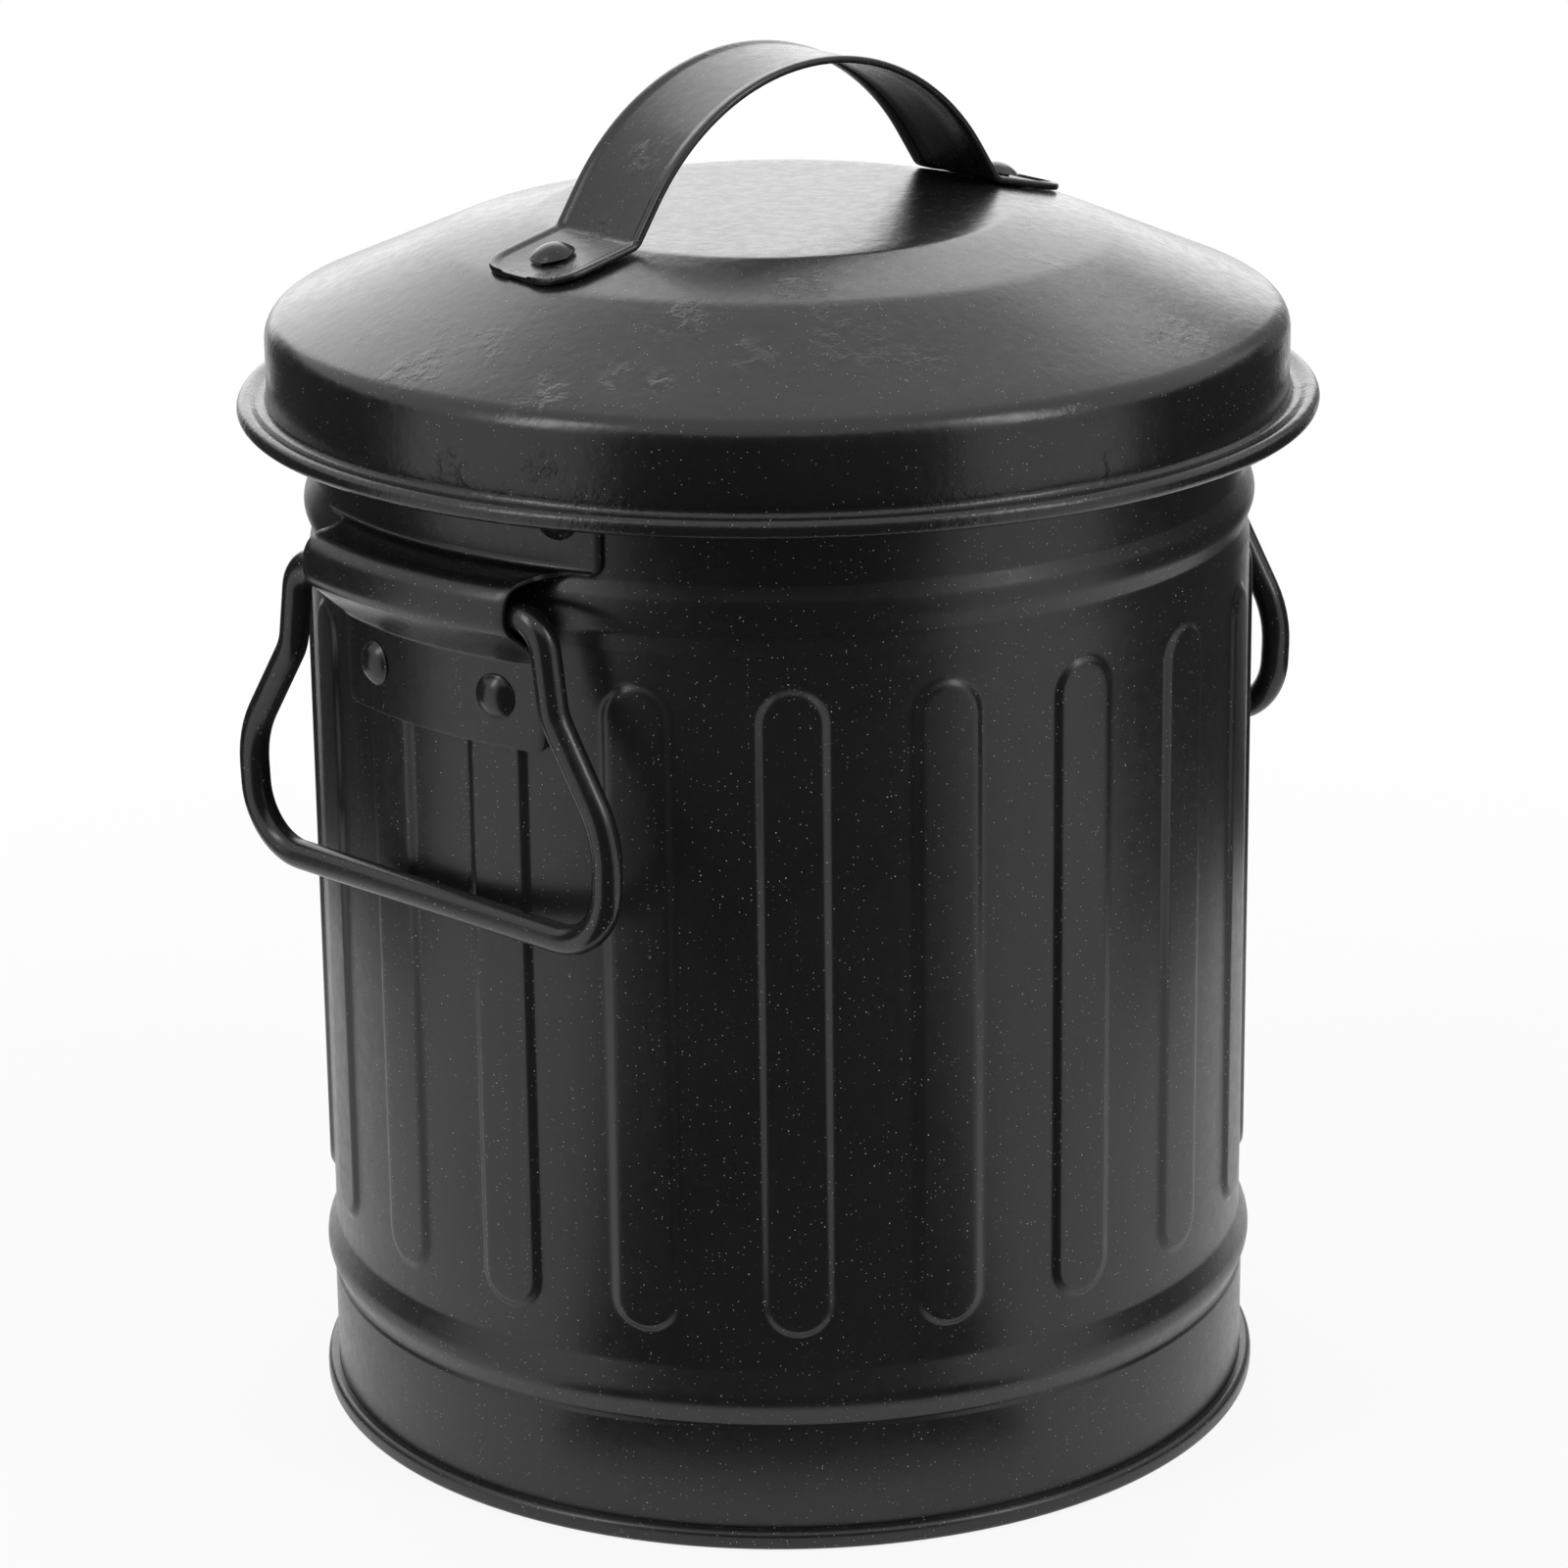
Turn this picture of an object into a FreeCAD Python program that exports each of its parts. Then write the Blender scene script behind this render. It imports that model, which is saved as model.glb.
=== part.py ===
"""Small painted-steel trash can: ribbed can, lift-off lid, strap on the lid, two side bails.

Millimetres. +Z is up, the origin is the centre of the ring that the can stands on, and the two side
handles are on -X and +X. Every driving size is in the spreadsheet "sizes".
"""
import FreeCAD, Part
import math
import os

import Sketcher

Vector = FreeCAD.Vector
Rotation = FreeCAD.Rotation
Placement = FreeCAD.Placement

# name, value (mm or degrees), what it is
SIZES = (
    ("wall_radius", 76.2, "outside of the plain wall: a six inch can"),
    ("wall_sheet", 0.6, "sheet of the wall"),
    ("neck_in", 0.8, "neck above the upper bead, in from the wall"),
    ("foot_out", 0.5, "plain band under the lower bead, out from the wall"),
    ("mouth_curl", 1.6, "inside radius of the rolled mouth"),
    ("can_height", 183.4, "floor to the top of the rolled mouth"),
    ("upper_bead_drop", 30.4, "top of the mouth to the crown of the upper bead"),
    ("upper_bead_out", 1.9, "sharp crown of the upper bead past the neck"),
    ("upper_bead_rise", 4.0, "crown of the upper bead to its upper edge"),
    ("upper_groove_drop", 4.4, "crown of the upper bead to the groove under it"),
    ("upper_groove_deep", 0.6, "groove under the upper bead, in from the wall"),
    ("upper_groove_land", 2.6, "groove to the start of the plain wall"),
    ("lower_bead_height", 24.6, "floor to the crown of the lower bead"),
    ("lower_bead_out", 1.95, "sharp crown of the lower bead past the wall"),
    ("lower_bead_half", 5.2, "half the height of the lower bead"),
    ("bead_round", 4.6, "crown radius of both beads"),
    ("bead_blend", 2.2, "radius where a bead runs into the wall"),
    ("rib_count", 20, "upright ribs"),
    ("rib_width", 11.0, "rib at the wall"),
    ("rib_under_rivet", 1.4, "lower rivets above the centre of a rib's round end"),
    ("rib_low_end", 35.6, "floor to the lower end of a rib"),
    ("rib_out", 0.9, "rib past the wall"),
    ("rib_slope", 45.0, "slope of a rib's edge"),
    ("base_sheet", 0.5, "sheet of the base pan"),
    ("base_lift", 4.2, "floor to the underside of the raised pan"),
    ("seam_out", 1.9, "double seam, out from the foot"),
    ("seam_height", 3.1, "height of the double seam"),
    ("seam_round", 0.8, "corner radius of the double seam"),
    ("flange_out", 1.2, "the wall's flange inside the seam"),
    ("seat_gap", 0.05, "paint film between pieces that are seated on each other"),
    ("rest_gap", 0.3, "lid above the rolled mouth that it rests on"),
    ("lid_sheet", 0.6, "sheet of the lid"),
    ("lid_flat_radius", 37.9, "edge of the lid's flat top"),
    ("lid_ring_radius", 53.6, "outer edge of the gently sloping ring"),
    ("lid_ring_slope", 13.3, "slope of that ring"),
    ("lid_cone_slope", 23.1, "slope of the cone outside it"),
    ("lid_flat_round", 6.0, "radius at the edge of the flat top"),
    ("lid_ring_round", 14.0, "radius between the ring and the cone"),
    ("lid_shoulder_round", 4.6, "radius of the shoulder"),
    ("lid_slack", 2.4, "rolled mouth to the inside of the skirt"),
    ("lid_skirt_drop", 14.25, "sharp shoulder to the gutter"),
    ("lid_gutter_round", 1.3, "radius in the gutter"),
    ("lid_edge_run", 2.6, "skirt to the rolled edge, across"),
    ("lid_edge_slope", 30.0, "slope up to the rolled edge"),
    ("lid_edge_radius", 1.5, "outside radius of the rolled edge"),
    ("lid_turn", -6.5, "how far the lid is turned on the can"),
    ("strap_off", -1.6, "strap's middle from the lid's, towards +Y"),
    ("strap_width", 20.6, "strap across"),
    ("strap_sheet", 0.6, "sheet of the strap"),
    ("strap_hem", 3.2, "folded-under edge of the strap"),
    ("strap_bend", 37.7, "centre of the lid to the bend at a foot"),
    ("strap_tip", 53.6, "centre of the lid to the tip of a foot"),
    ("strap_slope", 56.5, "slope of the strap above its foot"),
    ("strap_arch", 40.5, "radius over the top of the strap"),
    ("strap_bend_round", 1.6, "bend radius at a foot"),
    ("strap_tip_round", 5.5, "corner radius of a foot"),
    ("lid_rivet_out", 46.2, "centre of the lid to a strap rivet"),
    ("rivet_shank", 2.0, "radius of every rivet's shank"),
    ("lid_rivet_head", 3.6, "radius of a strap rivet's head"),
    ("lid_rivet_dome", 1.7, "height of a strap rivet's head"),
    ("tab_rivet_head", 3.6, "radius of a bracket rivet's head"),
    ("tab_rivet_dome", 1.7, "height of a bracket rivet's head"),
    ("rivet_tail", 2.3, "radius of a rivet's closed end"),
    ("rivet_tail_high", 1.0, "height of a rivet's closed end"),
    ("tail_round", 0.5, "edge radius of a rivet's closed end"),
    ("ear_sheet", 0.8, "sheet of a handle bracket"),
    ("ear_top_drop", 12.0, "top of the mouth to the top of the upper tab"),
    ("ear_upper_high", 13.8, "top of the upper tab to the fold under it"),
    ("ear_nose_out", 10.05, "sharp nose of the tunnel past the wall"),
    ("ear_brow_in", 0.6, "sharp brow of the tunnel, in from the nose"),
    ("ear_brow_drop", 0.7, "fold to the sharp brow"),
    ("ear_nose_drop", 7.4, "fold to the sharp nose"),
    ("ear_lip", 0.15, "fold to the cut edge beside the tunnel"),
    ("ear_tunnel_high", 14.7, "fold to the crease above the lower tab"),
    ("ear_lower_high", 13.9, "crease to the bottom of the lower tab"),
    ("ear_fold_round", 1.4, "bend radius at the fold and the crease"),
    ("ear_nose_round", 4.0, "radius of the tunnel's brow and nose"),
    ("ear_upper_half", 30.2, "half the width of the upper tab"),
    ("ear_tunnel_half", 22.4, "half the length of the tunnel"),
    ("ear_lower_half", 22.0, "half the width of the lower tab"),
    ("ear_corner", 3.0, "corner radius of the cut-outs"),
    ("ear_tab_corner", 1.5, "corner radius of the two tabs"),
    ("ear_sweep", 52.0, "arc of sheet that a bracket is cut from"),
    ("tab_rivet_past", 1.0, "lower rivets, past the middle of their rib"),
    ("tab_rivet_up", 7.9, "bottom of the lower tab to the lower rivets"),
    ("top_rivet_angle", 18.0, "upper rivets, either side of the handle"),
    ("top_rivet_up", 8.4, "fold to the upper rivets"),
    ("wire_radius", 2.35, "bail wire"),
    ("pin_out", 3.4, "bail's pin past the wall"),
    ("pin_drop", 5.8, "fold to the bail's pin"),
    ("pin_reach", 13.2, "handle's middle to the end of a pin"),
    ("bail_top_half", 27.2, "half the bail's width at the pin"),
    ("bail_knee_half", 29.3, "half the bail's width at the knee"),
    ("bail_knee_drop", 14.3, "pin to the knee"),
    ("bail_wide_half", 40.2, "half the bail's width where it is widest"),
    ("bail_wide_drop", 31.1, "pin to where the bail is widest"),
    ("bail_foot_half", 39.4, "half the bail's width at the bar"),
    ("bail_foot_drop", 49.3, "pin to the middle of the bar"),
    ("bail_top_round", 5.5, "radius from the pin into the leg"),
    ("bail_knee_round", 9.0, "radius of the knee"),
    ("bail_wide_round", 16.0, "radius where the bail is widest"),
    ("bail_foot_round", 10.6, "radius from the leg into the bar"),
)


class Size:
    """A number and the formula over the spreadsheet that gives it."""

    def __init__(self, value, formula):
        self.value = value
        self.formula = formula

    def __add__(self, other):
        other = size_of(other)
        return Size(self.value + other.value, f"({self.formula} + {other.formula})")

    def __sub__(self, other):
        other = size_of(other)
        return Size(self.value - other.value, f"({self.formula} - {other.formula})")

    def __mul__(self, other):
        other = size_of(other)
        return Size(self.value * other.value, f"({self.formula} * {other.formula})")

    def __truediv__(self, other):
        other = size_of(other)
        return Size(self.value / other.value, f"({self.formula} / {other.formula})")

    def __neg__(self):
        return Size(-self.value, f"(0 - {self.formula})")


def size_of(number):
    """Return a Size for a plain number, or the Size itself."""
    if isinstance(number, Size):
        return number
    return Size(float(number), f"{float(number)}")


def sine(angle):
    """Sine of a Size in degrees."""
    return Size(math.sin(math.radians(angle.value)), f"sin({angle.formula} * 1 deg)")


def cosine(angle):
    """Cosine of a Size in degrees."""
    return Size(math.cos(math.radians(angle.value)), f"cos({angle.formula} * 1 deg)")


def tangent(angle):
    """Tangent of a Size in degrees."""
    return Size(math.tan(math.radians(angle.value)), f"tan({angle.formula} * 1 deg)")


def chord_height(radius, half):
    """Distance from a circle's centre to a chord with this half length."""
    value = math.sqrt(radius.value ** 2 - half.value ** 2)
    return Size(value, f"sqrt({radius.formula} ^ 2 - {half.formula} ^ 2)")


def make_sheet(doc):
    """Write the driving sizes into the spreadsheet and return them by name."""
    sheet = doc.addObject("Spreadsheet::Sheet", "sizes")
    sizes = {}
    for row, (name, value, note) in enumerate(SIZES, start=1):
        sheet.set(f"A{row}", note)
        sheet.set(f"B{row}", str(value))
        sheet.setAlias(f"B{row}", name)
        sizes[name] = Size(float(value), f"sizes.{name}")
    doc.recompute()
    return sizes


DOC = FreeCAD.newDocument("TrashCan")
S = make_sheet(DOC)
ZERO = size_of(0)


# ---------------------------------------------------------------- sketches

def bind(target, prop, size):
    """Drive one property of an object with a size's formula."""
    target.setExpression(prop, size.formula)


def set_datum(sketch, kind, elements, size):
    """Add a dimension to a sketch and drive it with a size."""
    index = sketch.addConstraint(Sketcher.Constraint(kind, *elements, size.value))
    sketch.setExpression(f"Constraints[{index}]", size.formula)


def pin_point(sketch, element, position, corner):
    """Fix a point of a sketch at a corner, on an axis where a coordinate is nought."""
    for kind, axis, size in (("DistanceX", -2, corner[0]), ("DistanceY", -1, corner[1])):
        if size is ZERO:
            sketch.addConstraint(Sketcher.Constraint("PointOnObject", element, position, axis))
        else:
            set_datum(sketch, kind, (element, position), size)


def flat(corner):
    """A corner as a vector in the sketch's plane."""
    return Vector(corner[0].value, corner[1].value, 0)


def round_points(before, here, after):
    """Where the round at a corner starts and ends, its centre and whether it turns left."""
    to_here = (flat(here) - flat(before)).normalize()
    to_after = (flat(after) - flat(here)).normalize()
    turn = to_here.getAngle(to_after)
    reach = here[2].value * math.tan(turn / 2)
    enter = flat(here) - to_here * reach
    leave = flat(here) + to_after * reach
    left = (to_here.x * to_after.y - to_here.y * to_after.x) > 0
    side = 1 if left else -1
    centre = enter + Vector(-to_here.y, to_here.x, 0) * here[2].value * side
    return enter, leave, centre, left


def arc_between(start, end, centre, left):
    """An arc from start to end round a centre; a sketch's arcs always run anticlockwise."""
    first, last = (start, end) if left else (end, start)
    first_angle = math.atan2(first.y - centre.y, first.x - centre.x)
    last_angle = math.atan2(last.y - centre.y, last.x - centre.x)
    if last_angle < first_angle:
        last_angle += 2 * math.pi
    circle = Part.Circle(centre, Vector(0, 0, 1), (first - centre).Length)
    return Part.ArcOfCircle(circle, first_angle, last_angle)


def draw_path(sketch, corners, closed=False):
    """Draw lines from corner to corner, with a tangent round where a corner has a radius.

    A corner is (x, y) or (x, y, radius). The corners and radii are driven by the sheet.
    Returns the last line's number.
    """
    count = len(corners)
    rounds = {}
    for index in range(count):
        inner = closed or 0 < index < count - 1
        if inner and len(corners[index]) == 3:
            before = corners[index - 1]
            after = corners[(index + 1) % count]
            rounds[index] = round_points(before, corners[index], after)
    lines = {}
    for index in range(count if closed else count - 1):
        after = (index + 1) % count
        start = rounds[index][1] if index in rounds else flat(corners[index])
        end = rounds[after][0] if after in rounds else flat(corners[after])
        lines[index] = sketch.addGeometry(Part.LineSegment(start, end), False)
    for index, corner in enumerate(corners):
        joined = closed or 0 < index < count - 1
        line_in = lines[(index - 1) % count] if joined or index else None
        line_out = lines.get(index)
        if index in rounds:
            enter, leave, centre, left = rounds[index]
            arc = sketch.addGeometry(arc_between(enter, leave, centre, left), False)
            starts_at, ends_at = (1, 2) if left else (2, 1)
            sketch.addConstraint(Sketcher.Constraint("Tangent", line_in, 2, arc, starts_at))
            sketch.addConstraint(Sketcher.Constraint("Tangent", arc, ends_at, line_out, 1))
            set_datum(sketch, "Radius", (arc,), corner[2])
            point = sketch.addGeometry(Part.Point(flat(corner)), True)
            sketch.addConstraint(Sketcher.Constraint("PointOnObject", point, 1, line_in))
            sketch.addConstraint(Sketcher.Constraint("PointOnObject", point, 1, line_out))
            pin_point(sketch, point, 1, corner)
        elif line_out is None:
            pin_point(sketch, line_in, 2, corner)
        else:
            if joined:
                sketch.addConstraint(Sketcher.Constraint("Coincident", line_in, 2, line_out, 1))
            pin_point(sketch, line_out, 1, corner)
    return lines[max(lines)]


def draw_curl(sketch, line, join, radius, end_x):
    """Roll a path on to the right from its last line's end, until it comes round to end_x."""
    last = sketch.Geometry[line]
    along = (last.EndPoint - last.StartPoint).normalize()
    centre = flat(join) + Vector(along.y, -along.x, 0) * radius.value
    start_angle = math.atan2(join[1].value - centre.y, join[0].value - centre.x)
    end_angle = -math.acos((end_x.value - centre.x) / radius.value)
    circle = Part.Circle(centre, Vector(0, 0, 1), radius.value)
    arc = sketch.addGeometry(Part.ArcOfCircle(circle, end_angle, start_angle), False)
    sketch.addConstraint(Sketcher.Constraint("Tangent", line, 2, arc, 2))
    set_datum(sketch, "Radius", (arc,), radius)
    set_datum(sketch, "DistanceX", (arc, 1), end_x)


def upright_sketch(name):
    """A sketch on the XZ plane: across is X and up is Z."""
    sketch = DOC.addObject("Sketcher::SketchObject", name)
    sketch.Placement = Placement(Vector(0, 0, 0), Rotation(Vector(1, 0, 0), 90))
    return sketch


def side_sketch(name):
    """A sketch on the YZ plane: across is Y and up is Z."""
    sketch = DOC.addObject("Sketcher::SketchObject", name)
    sketch.Placement = Placement(Vector(0, 0, 0), Rotation(Vector(1, 1, 1), 120))
    return sketch


# ---------------------------------------------------------------- solids

def strip(name, sketch, thickness):
    """The cut face of a sheet: the path in a sketch, thickened to its left."""
    face = DOC.addObject("Part::Offset2D", name)
    face.Source = sketch
    face.Mode = "Skin"
    face.Join = "Arc"
    face.Fill = True
    bind(face, "Value", thickness)
    return face


def spun(name, face, angle=None):
    """A face turned about Z: all the way, or by an angle to both sides alike."""
    solid = DOC.addObject("Part::Revolution", name)
    solid.Source = face
    solid.Axis = Vector(0, 0, 1)
    solid.Base = Vector(0, 0, 0)
    solid.Angle = 360
    solid.Solid = True
    if angle is not None:
        solid.Symmetric = True
        bind(solid, "Angle", angle)
    return solid


def pushed(name, face, direction, forward, back=None):
    """A face pushed along a direction, and back the other way where that is given."""
    solid = DOC.addObject("Part::Extrusion", name)
    solid.Base = face
    solid.DirMode = "Custom"
    solid.Dir = direction
    solid.Solid = True
    bind(solid, "LengthFwd", forward)
    if back is not None:
        bind(solid, "LengthRev", back)
    return solid


def joined(name, *shapes):
    """Several shapes fused into one."""
    solid = DOC.addObject("Part::MultiFuse", name)
    solid.Shapes = list(shapes)
    return solid


def less(name, base, *tools):
    """A shape with others cut out of it."""
    cutter = tools[0] if len(tools) == 1 else joined(name + "_tools", *tools)
    solid = DOC.addObject("Part::Cut", name)
    solid.Base = base
    solid.Tool = cutter
    return solid


def shared(name, first, second):
    """What two shapes have in common."""
    solid = DOC.addObject("Part::MultiCommon", name)
    solid.Shapes = [first, second]
    return solid


def drum(name, radius, low, high):
    """An upright cylinder about Z between two heights."""
    solid = DOC.addObject("Part::Cylinder", name)
    bind(solid, "Radius", radius)
    bind(solid, "Height", high - low)
    bind(solid, ".Placement.Base.z", low)
    return solid


def radial_hole(name, angle, height, radius, reach):
    """A cylinder that lies along a radius of the can, at an angle from +X."""
    solid = DOC.addObject("Part::Cylinder", name)
    bind(solid, "Radius", radius)
    bind(solid, "Height", reach)
    turn = Rotation(Vector(0, 0, 1), angle.value) * Rotation(Vector(0, 1, 0), 90)
    solid.Placement = Placement(Vector(0, 0, height.value), turn)
    bind(solid, ".Placement.Base.z", height)
    return solid


# ---------------------------------------------------------------- shared sizes

neck_radius = S["wall_radius"] - S["neck_in"]
foot_radius = S["wall_radius"] + S["foot_out"]
rib_radius = S["wall_radius"] + S["rib_out"]
upper_tab_seat = neck_radius + S["seat_gap"]
lower_tab_seat = rib_radius + S["seat_gap"]
upper_tab_face = upper_tab_seat + S["ear_sheet"]
lower_tab_face = lower_tab_seat + S["ear_sheet"]
pin_x = S["wall_radius"] + S["pin_out"]

# the brackets hang from the mouth, and the ribs end under the brackets' lower rivets
ear_top = S["can_height"] - S["ear_top_drop"]
ear_fold = ear_top - S["ear_upper_high"]
ear_crease = ear_fold - S["ear_tunnel_high"]
ear_bottom = ear_crease - S["ear_lower_high"]
pin_z = ear_fold - S["pin_drop"]
top_rivet_z = ear_fold + S["top_rivet_up"]
tab_rivet_z = ear_bottom + S["tab_rivet_up"]
tab_rivet_angle = size_of(180) / S["rib_count"] + S["tab_rivet_past"]
rib_top = tab_rivet_z - S["rib_under_rivet"] + S["rib_width"] / 2
rib_length = rib_top - S["rib_low_end"]

mouth_outer = S["mouth_curl"] + S["wall_sheet"]
mouth_centre = (neck_radius + S["mouth_curl"], S["can_height"] - mouth_outer)
skirt_radius = mouth_centre[0] + mouth_outer + S["lid_slack"] + S["lid_sheet"]

cone_tan = tangent(S["lid_cone_slope"])
cone_cos = cosine(S["lid_cone_slope"])
ring_tan = tangent(S["lid_ring_slope"])
ring_cos = cosine(S["lid_ring_slope"])
# the cone's underside clears the rolled mouth by the rest gap, measured square to the cone
cone_over_mouth = mouth_centre[1] + (mouth_outer + S["rest_gap"] + S["lid_sheet"]) / cone_cos
shoulder_z = cone_over_mouth - (skirt_radius - mouth_centre[0]) * cone_tan
ring_z = shoulder_z + (skirt_radius - S["lid_ring_radius"]) * cone_tan
lid_top = ring_z + (S["lid_ring_radius"] - S["lid_flat_radius"]) * ring_tan
gutter_z = shoulder_z - S["lid_skirt_drop"]


def ring_height(radius):
    """Height of the lid's sloping ring at a distance from the lid's centre."""
    return lid_top - (radius - S["lid_flat_radius"]) * ring_tan


# ---------------------------------------------------------------- can

def make_can_shell():
    """The wall: flange, foot band, lower bead, plain wall, groove, upper bead, neck and mouth."""
    wall = S["wall_radius"]
    crown = S["can_height"] - S["upper_bead_drop"]
    groove_z = crown - S["upper_groove_drop"]
    low = S["lower_bead_height"]
    half = S["lower_bead_half"]
    flange_z = S["base_sheet"] + S["seat_gap"] + S["wall_sheet"]
    sketch = upright_sketch("wall_path")
    line = draw_path(sketch, [
        (foot_radius + S["flange_out"], flange_z),
        (foot_radius, flange_z, S["base_sheet"]),
        (foot_radius, low - half, S["bead_blend"]),
        (wall + S["lower_bead_out"], low, S["bead_round"]),
        (wall, low + half, S["bead_blend"]),
        (wall, groove_z - S["upper_groove_land"], S["bead_blend"]),
        (wall - S["upper_groove_deep"], groove_z, S["bead_blend"]),
        (neck_radius + S["upper_bead_out"], crown, S["bead_round"]),
        (neck_radius, crown + S["upper_bead_rise"], S["bead_blend"]),
        (neck_radius, mouth_centre[1]),
    ])
    join = (neck_radius, mouth_centre[1])
    draw_curl(sketch, line, join, S["mouth_curl"], mouth_centre[0])
    return spun("wall_shell", strip("wall_strip", sketch, S["wall_sheet"]))


def origin_part(body, role):
    """The plane or axis of a body's own origin that has this role."""
    for feature in body.Origin.OriginFeatures:
        if feature.Role == role:
            return feature
    raise ValueError("the body has no origin feature " + role)


def draw_slot(sketch, half_width):
    """An upright slot with round ends, centred on the rib."""
    low = S["rib_low_end"] + S["rib_width"] / 2
    high = rib_top - S["rib_width"] / 2
    half = half_width.value
    left = sketch.addGeometry(Part.LineSegment(
        Vector(-half, high.value, 0), Vector(-half, low.value, 0)), False)
    right = sketch.addGeometry(Part.LineSegment(
        Vector(half, low.value, 0), Vector(half, high.value, 0)), False)
    bottom = sketch.addGeometry(Part.ArcOfCircle(Part.Circle(
        Vector(0, low.value, 0), Vector(0, 0, 1), half), math.pi, 2 * math.pi), False)
    top = sketch.addGeometry(Part.ArcOfCircle(Part.Circle(
        Vector(0, high.value, 0), Vector(0, 0, 1), half), 0, math.pi), False)
    for first, second in ((left, bottom), (bottom, right), (right, top), (top, left)):
        sketch.addConstraint(Sketcher.Constraint("Tangent", first, 2, second, 1))
    set_datum(sketch, "Radius", (bottom,), half_width)
    pin_point(sketch, bottom, 3, (ZERO, low))
    sketch.addConstraint(Sketcher.Constraint("PointOnObject", top, 3, -2))
    set_datum(sketch, "DistanceY", (top, 3), high)


def make_ribbed_drum(name, root_radius, half_width, crest_radius, margin):
    """A drum with all the ribs standing on it, a margin longer than them at both ends.

    The ribs have the given half width where they leave the root radius. They are drafted slots,
    longer than they stand out, trimmed to the crest radius.
    """
    sunk = S["wall_sheet"]
    foot_half = half_width + sunk * tangent(S["rib_slope"])
    body = DOC.addObject("PartDesign::Body", name)
    core = body.newObject("PartDesign::AdditiveCylinder", name + "_core")
    core.AttachmentSupport = [(origin_part(body, "XY_Plane"), "")]
    core.MapMode = "FlatFace"
    bind(core, "Radius", root_radius)
    bind(core, "Height", rib_length + margin * 2)
    bind(core, ".AttachmentOffset.Base.z", S["rib_low_end"] - margin)
    sketch = body.newObject("Sketcher::SketchObject", name + "_slot")
    sketch.AttachmentSupport = [(origin_part(body, "YZ_Plane"), "")]
    sketch.MapMode = "FlatFace"
    bind(sketch, ".AttachmentOffset.Base.z", root_radius - sunk)
    draw_slot(sketch, foot_half)
    boss = body.newObject("PartDesign::Pad", name + "_boss")
    boss.Profile = sketch
    boss.Type = "Length"
    bind(boss, "Length", sunk + S["rib_out"] * 1.5)
    bind(boss, "TaperAngle", -S["rib_slope"])
    DOC.recompute()
    pattern = body.newObject("PartDesign::PolarPattern", name + "_round")
    pattern.Originals = [boss]
    pattern.Axis = (origin_part(body, "Z_Axis"), [""])
    pattern.Angle = 360
    bind(pattern, "Occurrences", S["rib_count"])
    body.Tip = pattern
    body.Placement = Placement(Vector(0, 0, 0), Rotation(Vector(0, 0, 1), 1))
    bind(body, ".Placement.Rotation.Angle", size_of(180) / S["rib_count"])
    crest = drum(name + "_crest", crest_radius, ZERO, S["can_height"])
    return shared(name + "_ribs", body, crest)


def make_can_body():
    """The wall with its ribs pressed outwards, holed for the bracket rivets."""
    wall = S["wall_radius"]
    sheet = S["wall_sheet"]
    half = S["rib_width"] / 2
    inner_half = half + sheet * tangent(S["rib_slope"]) - sheet / cosine(S["rib_slope"])
    outside = make_ribbed_drum("rib_outside", wall, half, rib_radius, size_of(1))
    inside = make_ribbed_drum("rib_inside", wall - sheet, inner_half, rib_radius - sheet, size_of(2))
    ribbed = less("ribbed_wall", joined("wall_and_ribs", make_can_shell(), outside), inside)
    return less("can_body", ribbed, *rivet_holes("wall_hole", wall / 2))


def make_can_base():
    """The base pan: raised floor, inner wall and the double seam folded over the wall's flange."""
    inner = foot_radius - S["wall_sheet"] - S["seat_gap"] - S["base_sheet"]
    seam_radius = foot_radius + S["seam_out"]
    sketch = upright_sketch("base_path")
    draw_path(sketch, [
        (ZERO, S["base_lift"]),
        (inner, S["base_lift"], S["seam_round"]),
        (inner, ZERO, S["seam_round"]),
        (seam_radius, ZERO, S["seam_round"]),
        (seam_radius, S["seam_height"], S["seam_round"]),
        (foot_radius + S["seat_gap"], S["seam_height"]),
    ])
    return spun("can_base", strip("base_strip", sketch, S["base_sheet"]))


# ---------------------------------------------------------------- brackets and rivets

def rivet_places():
    """Name, angle from the handle, height, tab's face and wall's inside of a bracket's rivets."""
    places = []
    for word, angle, height, seat, wall in (
            ("upper", S["top_rivet_angle"], top_rivet_z, upper_tab_face,
             neck_radius - S["wall_sheet"]),
            ("lower", tab_rivet_angle, tab_rivet_z, lower_tab_face,
             rib_radius - S["wall_sheet"])):
        for side, sign in (("front", -1), ("back", 1)):
            places.append((word + "_" + side, angle * sign, height, seat, wall))
    return places


def rivet_holes(name, start, turns=(0, 180)):
    """The holes of all the bracket rivets, for the handles at the given turns."""
    holes = []
    for turn in turns:
        for word, angle, height, seat, wall in rivet_places():
            label = f"{name}_{turn}_{word}"
            radius = S["rivet_shank"] + S["seat_gap"]
            holes.append(radial_hole(label, angle + turn, height, radius, start + seat))
    return holes


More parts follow.
